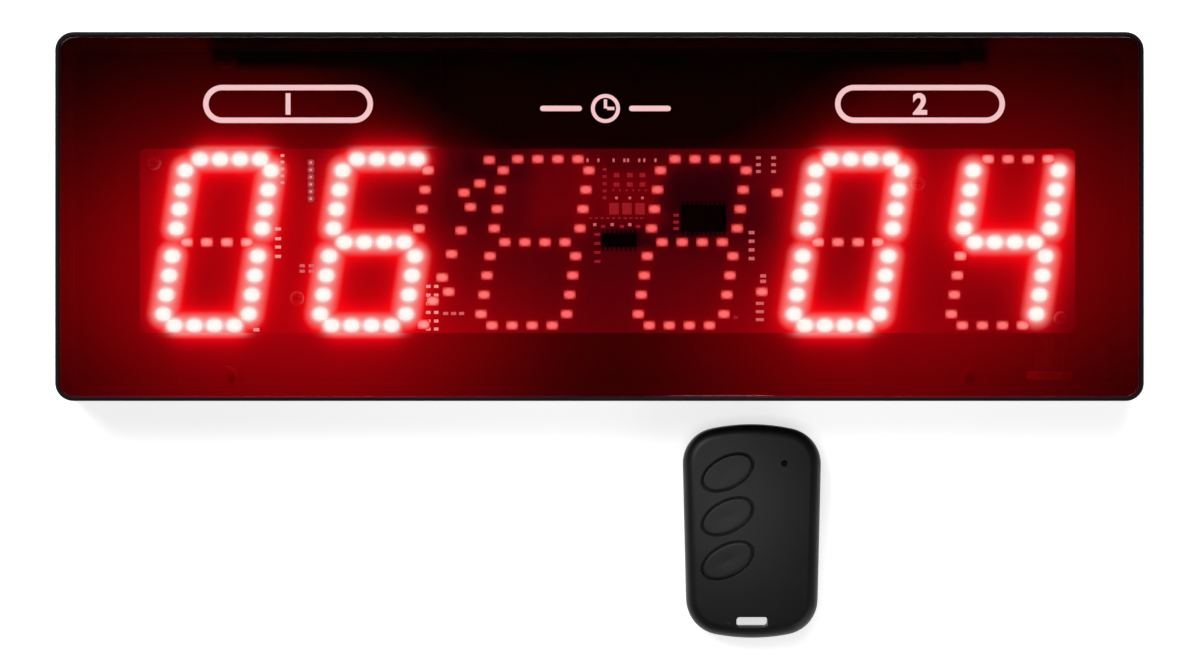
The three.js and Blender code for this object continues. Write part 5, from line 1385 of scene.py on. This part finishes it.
class SCOREBOARD_OT_remote_shells(bpy.types.Operator):
    """Front and rear shell of the remote, with key wells, indicator hole, slot and parting line."""

    bl_idname = "scoreboard.remote_shells"
    bl_label = "Remote shells"

    def execute(self, context):
        rear_top, front_foot = REMOTE_PARTING
        rear_edge, front_edge = REMOTE_EDGES
        wall = prism(slot_outline(SLOT_WALL), -2 * MM, REMOTE_HEIGHT + 2 * MM)
        room = crowned(REMOTE_WALL, REMOTE_TOP_WALL, front_edge - REMOTE_WALL, front_foot - 1 * MM, 5, 6)
        well_round = context.scene.scoreboard_sizes.well_round
        cutters = [carved("remote_front_room", room, [("DIFFERENCE", wall)])]
        for key_y in KEY_YS:
            well = partial(well_outline, key_y=key_y)
            cutters.append(crown_hole(well, WELL_FOOT, well_round))
        cutters.append(crown_hole(indicator_outline, *INDICATOR_CUT))
        cutters.append(crown_hole(slot_outline, *SLOT_CUT))
        steps = [("DIFFERENCE", cutter) for cutter in cutters]
        block = crowned(0, 0, front_edge, front_foot)
        self.put(carved("remote_front_piece", block, steps), "remote_front_shell")
        room = tray(REMOTE_WALL, REMOTE_WALL, rear_edge - REMOTE_WALL, REAR_ROOM_TOP)
        steps = [("DIFFERENCE", carved("remote_rear_room", room, [("DIFFERENCE", wall)]))]
        steps.append(("DIFFERENCE", prism(slot_outline(0), -1 * MM, REAR_ROOM_TOP)))
        for place in REMOTE_SCREWS:
            steps.append(("UNION", moved(cylinder(*SCREW_TOWER), *place)))
            steps.append(("DIFFERENCE", moved(revolved(SCREW_HOLE, 32), *place)))
        self.put(carved("remote_rear_piece", tray(0, 0, rear_edge, rear_top), steps), "remote_rear_shell")
        return {"FINISHED"}

    def put(self, mesh, node):
        smooth_crown(mesh)
        mesh.transform(Matrix.Translation((*REMOTE_CENTRE, 0)))
        store_crown_edge(mesh, 0, 1.2 * MM, 1.6 * MM, 1.6)
        place_piece(mesh, "remote plastic", [node], "remote")


class SCOREBOARD_OT_keys(bpy.types.Operator):
    """Oval keys whose tops follow the remote's crown, with a rounded edge and a hidden flange and stem."""

    bl_idname = "scoreboard.keys"
    bl_label = "Keys"

    def execute(self, context):
        bend = quarter_bend(context.scene.scoreboard_sizes.key_round, 8)
        for number, key_y in enumerate(KEY_YS, start=1):
            name, node, middle = f"key_{number}_piece", f"key_cap_{number}", [KEY_X, key_y]
            low_z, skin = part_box(node)[0].z, REMOTE_TOP_WALL + SKIN_PLAY
            flange_z = low_z + 0.25 * MM
            rings = [flat(well_outline(KEY_FLANGE, key_y), flange_z)]
            rings += [draped(well_outline(outset, key_y), skin) for outset in (KEY_FLANGE, -KEY_GAP)]
            for inward, fall in bend:
                rings.append(draped(well_outline(-KEY_GAP - inward, key_y), fall - KEY_PROUD))
            rim = rings[-1][:, :2] - middle
            for share in np.linspace(1, 0.02, 12)[1:]:
                rings.append(draped(rim * share + middle, KEY_DOME * (1 - share) ** 2 - KEY_PROUD))
            stem = moved(cylinder(1.6 * MM, low_z, flange_z + 0.3 * MM, 24), *middle)
            mesh = to_mesh(name, moved(together(lofted(rings), stem), *REMOTE_CENTRE), 40)
            store_crown_edge(mesh, KEY_PROUD, 0.3 * MM, 0.6 * MM, 1.5)
            place_piece(mesh, "key plastic", [node], f"key_{number}")
        return {"FINISHED"}


# Finishes of the CAD nodes, by how their names begin; the first that fits is taken, or else case plastic
NODE_FINISHES = {
    "tape foam": ("panel_tape",),
    "cover plastic": ("rear_cover",),
    "chip plastic": (
        "led_driver", "logic_chip", "microcontroller", "power_regulator", "remote_chip", "switch_body"
    ),
    "sleeve": ("filter_capacitor",),
    "nylon": ("lead_connector", "switch_plunger"),
    "green laminate": ("receiver_board", "remote_board"),
    "copper": ("receiver_aerial", "battery_contact"),
    "nut steel": ("inlet_nut",),
    "lead sheath": ("power_lead",),
    "bright steel": ("clock_crystal", "battery", "remote_resonator", "remote_screw"),
    "dark steel": ("rear_screw", "board_screw"),
    "indicator lens": ("remote_indicator",),
}


class SCOREBOARD_OT_nodes(bpy.types.Operator):
    """Gives every CAD node that still shows its own finish."""

    bl_idname = "scoreboard.nodes"
    bl_label = "Carried-over nodes"

    def execute(self, context):
        for name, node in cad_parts.items():
            fitting = (finish for finish, starts in NODE_FINISHES.items() if name.startswith(starts))
            node.data.materials.clear()
            node.data.materials.append(bpy.data.materials[next(fitting, "case plastic")])
        return {"FINISHED"}


# Stage
def world_light(scene):
    """Soft studio surroundings: pale at the horizon, dark overhead, white where the camera sees them."""
    world = bpy.data.worlds.new("studio")
    scene.world = world
    world.use_nodes = True
    tree, background = Tree(world.node_tree), world.node_tree.nodes["Background"]
    up = tree.axes(tree.read("ShaderNodeTexCoord", "Generated"))["Z"]
    colour = tree.mix(tree.ramp(up, 0.25, 0.9), (0.4, 0.404, 0.412, 1), (0.008, 0.008, 0.008, 1))
    seen = tree.read("ShaderNodeLightPath", "Is Camera Ray")
    tree.put(background, "Color", tree.mix(seen, colour, (1, 1, 1, 1)))
    tree.put(background, "Strength", 1.0)


def floor_material(colour, level):
    """Pale floor, lit up where it is seen, and clear from below.

    It isn't lit up beneath the scoreboard, so that no light shows through its vents.
    """
    material, tree, shader = new_material("floor", colour, 0.9, Emission_Color=(1, 1, 1, 1))
    path, place = tree.outputs(tree.add("ShaderNodeLightPath")), tree.axes(tree.place())
    seen = path["Is Camera Ray"].or_more(path["Is Transmission Ray"])
    open_floor = (abs(place["X"]) > FLOOR_BENEATH[0]).or_more(abs(place["Y"]) > FLOOR_BENEATH[1])
    shown = (seen * open_floor).or_more(path["Is Glossy Ray"])
    tree.put(shader, "Emission Strength", shown * level)
    clear = tree.read("ShaderNodeBsdfTransparent", 0)
    behind = tree.read("ShaderNodeNewGeometry", "Backfacing")
    both = tree.read("ShaderNodeMixShader", 0, {0: behind, 1: shader.outputs[0], 2: clear})
    tree.put(material.node_tree.nodes["Material Output"], "Surface", both)
    return material


class SCOREBOARD_OT_stage(bpy.types.Operator):
    """Pale one-sided floor, studio lamps, surroundings and the camera straight above."""

    bl_idname = "scoreboard.stage"
    bl_label = "Stage"

    def execute(self, context):
        scene = context.scene
        outline = flat(rounded_outline(FLOOR_SIZE, FLOOR_SIZE, 0.5, 4), -FLOOR_DROP)
        floor = new_object("floor", to_mesh("floor", (outline, [np.arange(len(outline))[None, :]])))
        floor_look = floor_material(scene.scoreboard_colours.floor, scene.scoreboard_sizes.floor_light)
        floor.data.materials.append(floor_look)
        world_light(scene)
        for name, place, target, size, power in STUDIO_LAMPS:
            light = bpy.data.lights.new(name, "AREA")
            light.shape, light.size, light.energy = "SQUARE", size, power
            lamp = new_object(name, light)
            lamp.location = place
            lamp.rotation_euler = (Vector(target) - Vector(place)).to_track_quat("-Z", "Y").to_euler()
        camera = bpy.data.cameras.new("camera")
        camera.lens, camera.sensor_width, camera.dof.use_dof = *CAMERA_LENS, False
        camera.clip_start, camera.clip_end = CAMERA_CLIP
        eye = new_object("camera", camera)
        distance = PICTURE_WIDTH * camera.lens / camera.sensor_width
        eye.location = (*PICTURE_CENTRE, PICTURE_HEIGHT_OF_SCALE + distance)
        scene.camera = eye
        scene.view_settings.view_transform = "Standard"
        return {"FINISHED"}


class SCOREBOARD_PT_panel(bpy.types.Panel):
    """Lists the pieces in the sidebar."""

    bl_label = "Scoreboard"
    bl_space_type = "VIEW_3D"
    bl_region_type = "UI"
    bl_category = "Scoreboard"

    def draw(self, context):
        for settings in (context.scene.scoreboard_sizes, context.scene.scoreboard_colours):
            for name in settings.__annotations__:
                self.layout.prop(settings, name)
        for operator in OPERATORS:
            self.layout.operator(operator.bl_idname)


OPERATORS = (
    SCOREBOARD_OT_materials,
    SCOREBOARD_OT_stage,
    SCOREBOARD_OT_nodes,
    SCOREBOARD_OT_case,
    SCOREBOARD_OT_panel,
    SCOREBOARD_OT_board,
    SCOREBOARD_OT_lamps,
    SCOREBOARD_OT_board_parts,
    SCOREBOARD_OT_screws,
    SCOREBOARD_OT_inlet,
    SCOREBOARD_OT_marks,
    SCOREBOARD_OT_remote_shells,
    SCOREBOARD_OT_keys,
)
CLASSES = (ScoreboardSizes, ScoreboardColours, *OPERATORS, SCOREBOARD_PT_panel)


def register():
    for item in CLASSES:
        bpy.utils.register_class(item)
    bpy.types.Scene.scoreboard_sizes = PointerProperty(type=ScoreboardSizes)
    bpy.types.Scene.scoreboard_colours = PointerProperty(type=ScoreboardColours)


def unregister():
    del bpy.types.Scene.scoreboard_sizes
    del bpy.types.Scene.scoreboard_colours
    for item in reversed(CLASSES):
        bpy.utils.unregister_class(item)


def main():
    register()
    for operator in OPERATORS:
        group, name = operator.bl_idname.split(".")
        getattr(getattr(bpy.ops, group), name)()


if __name__ == "__main__":
    main()
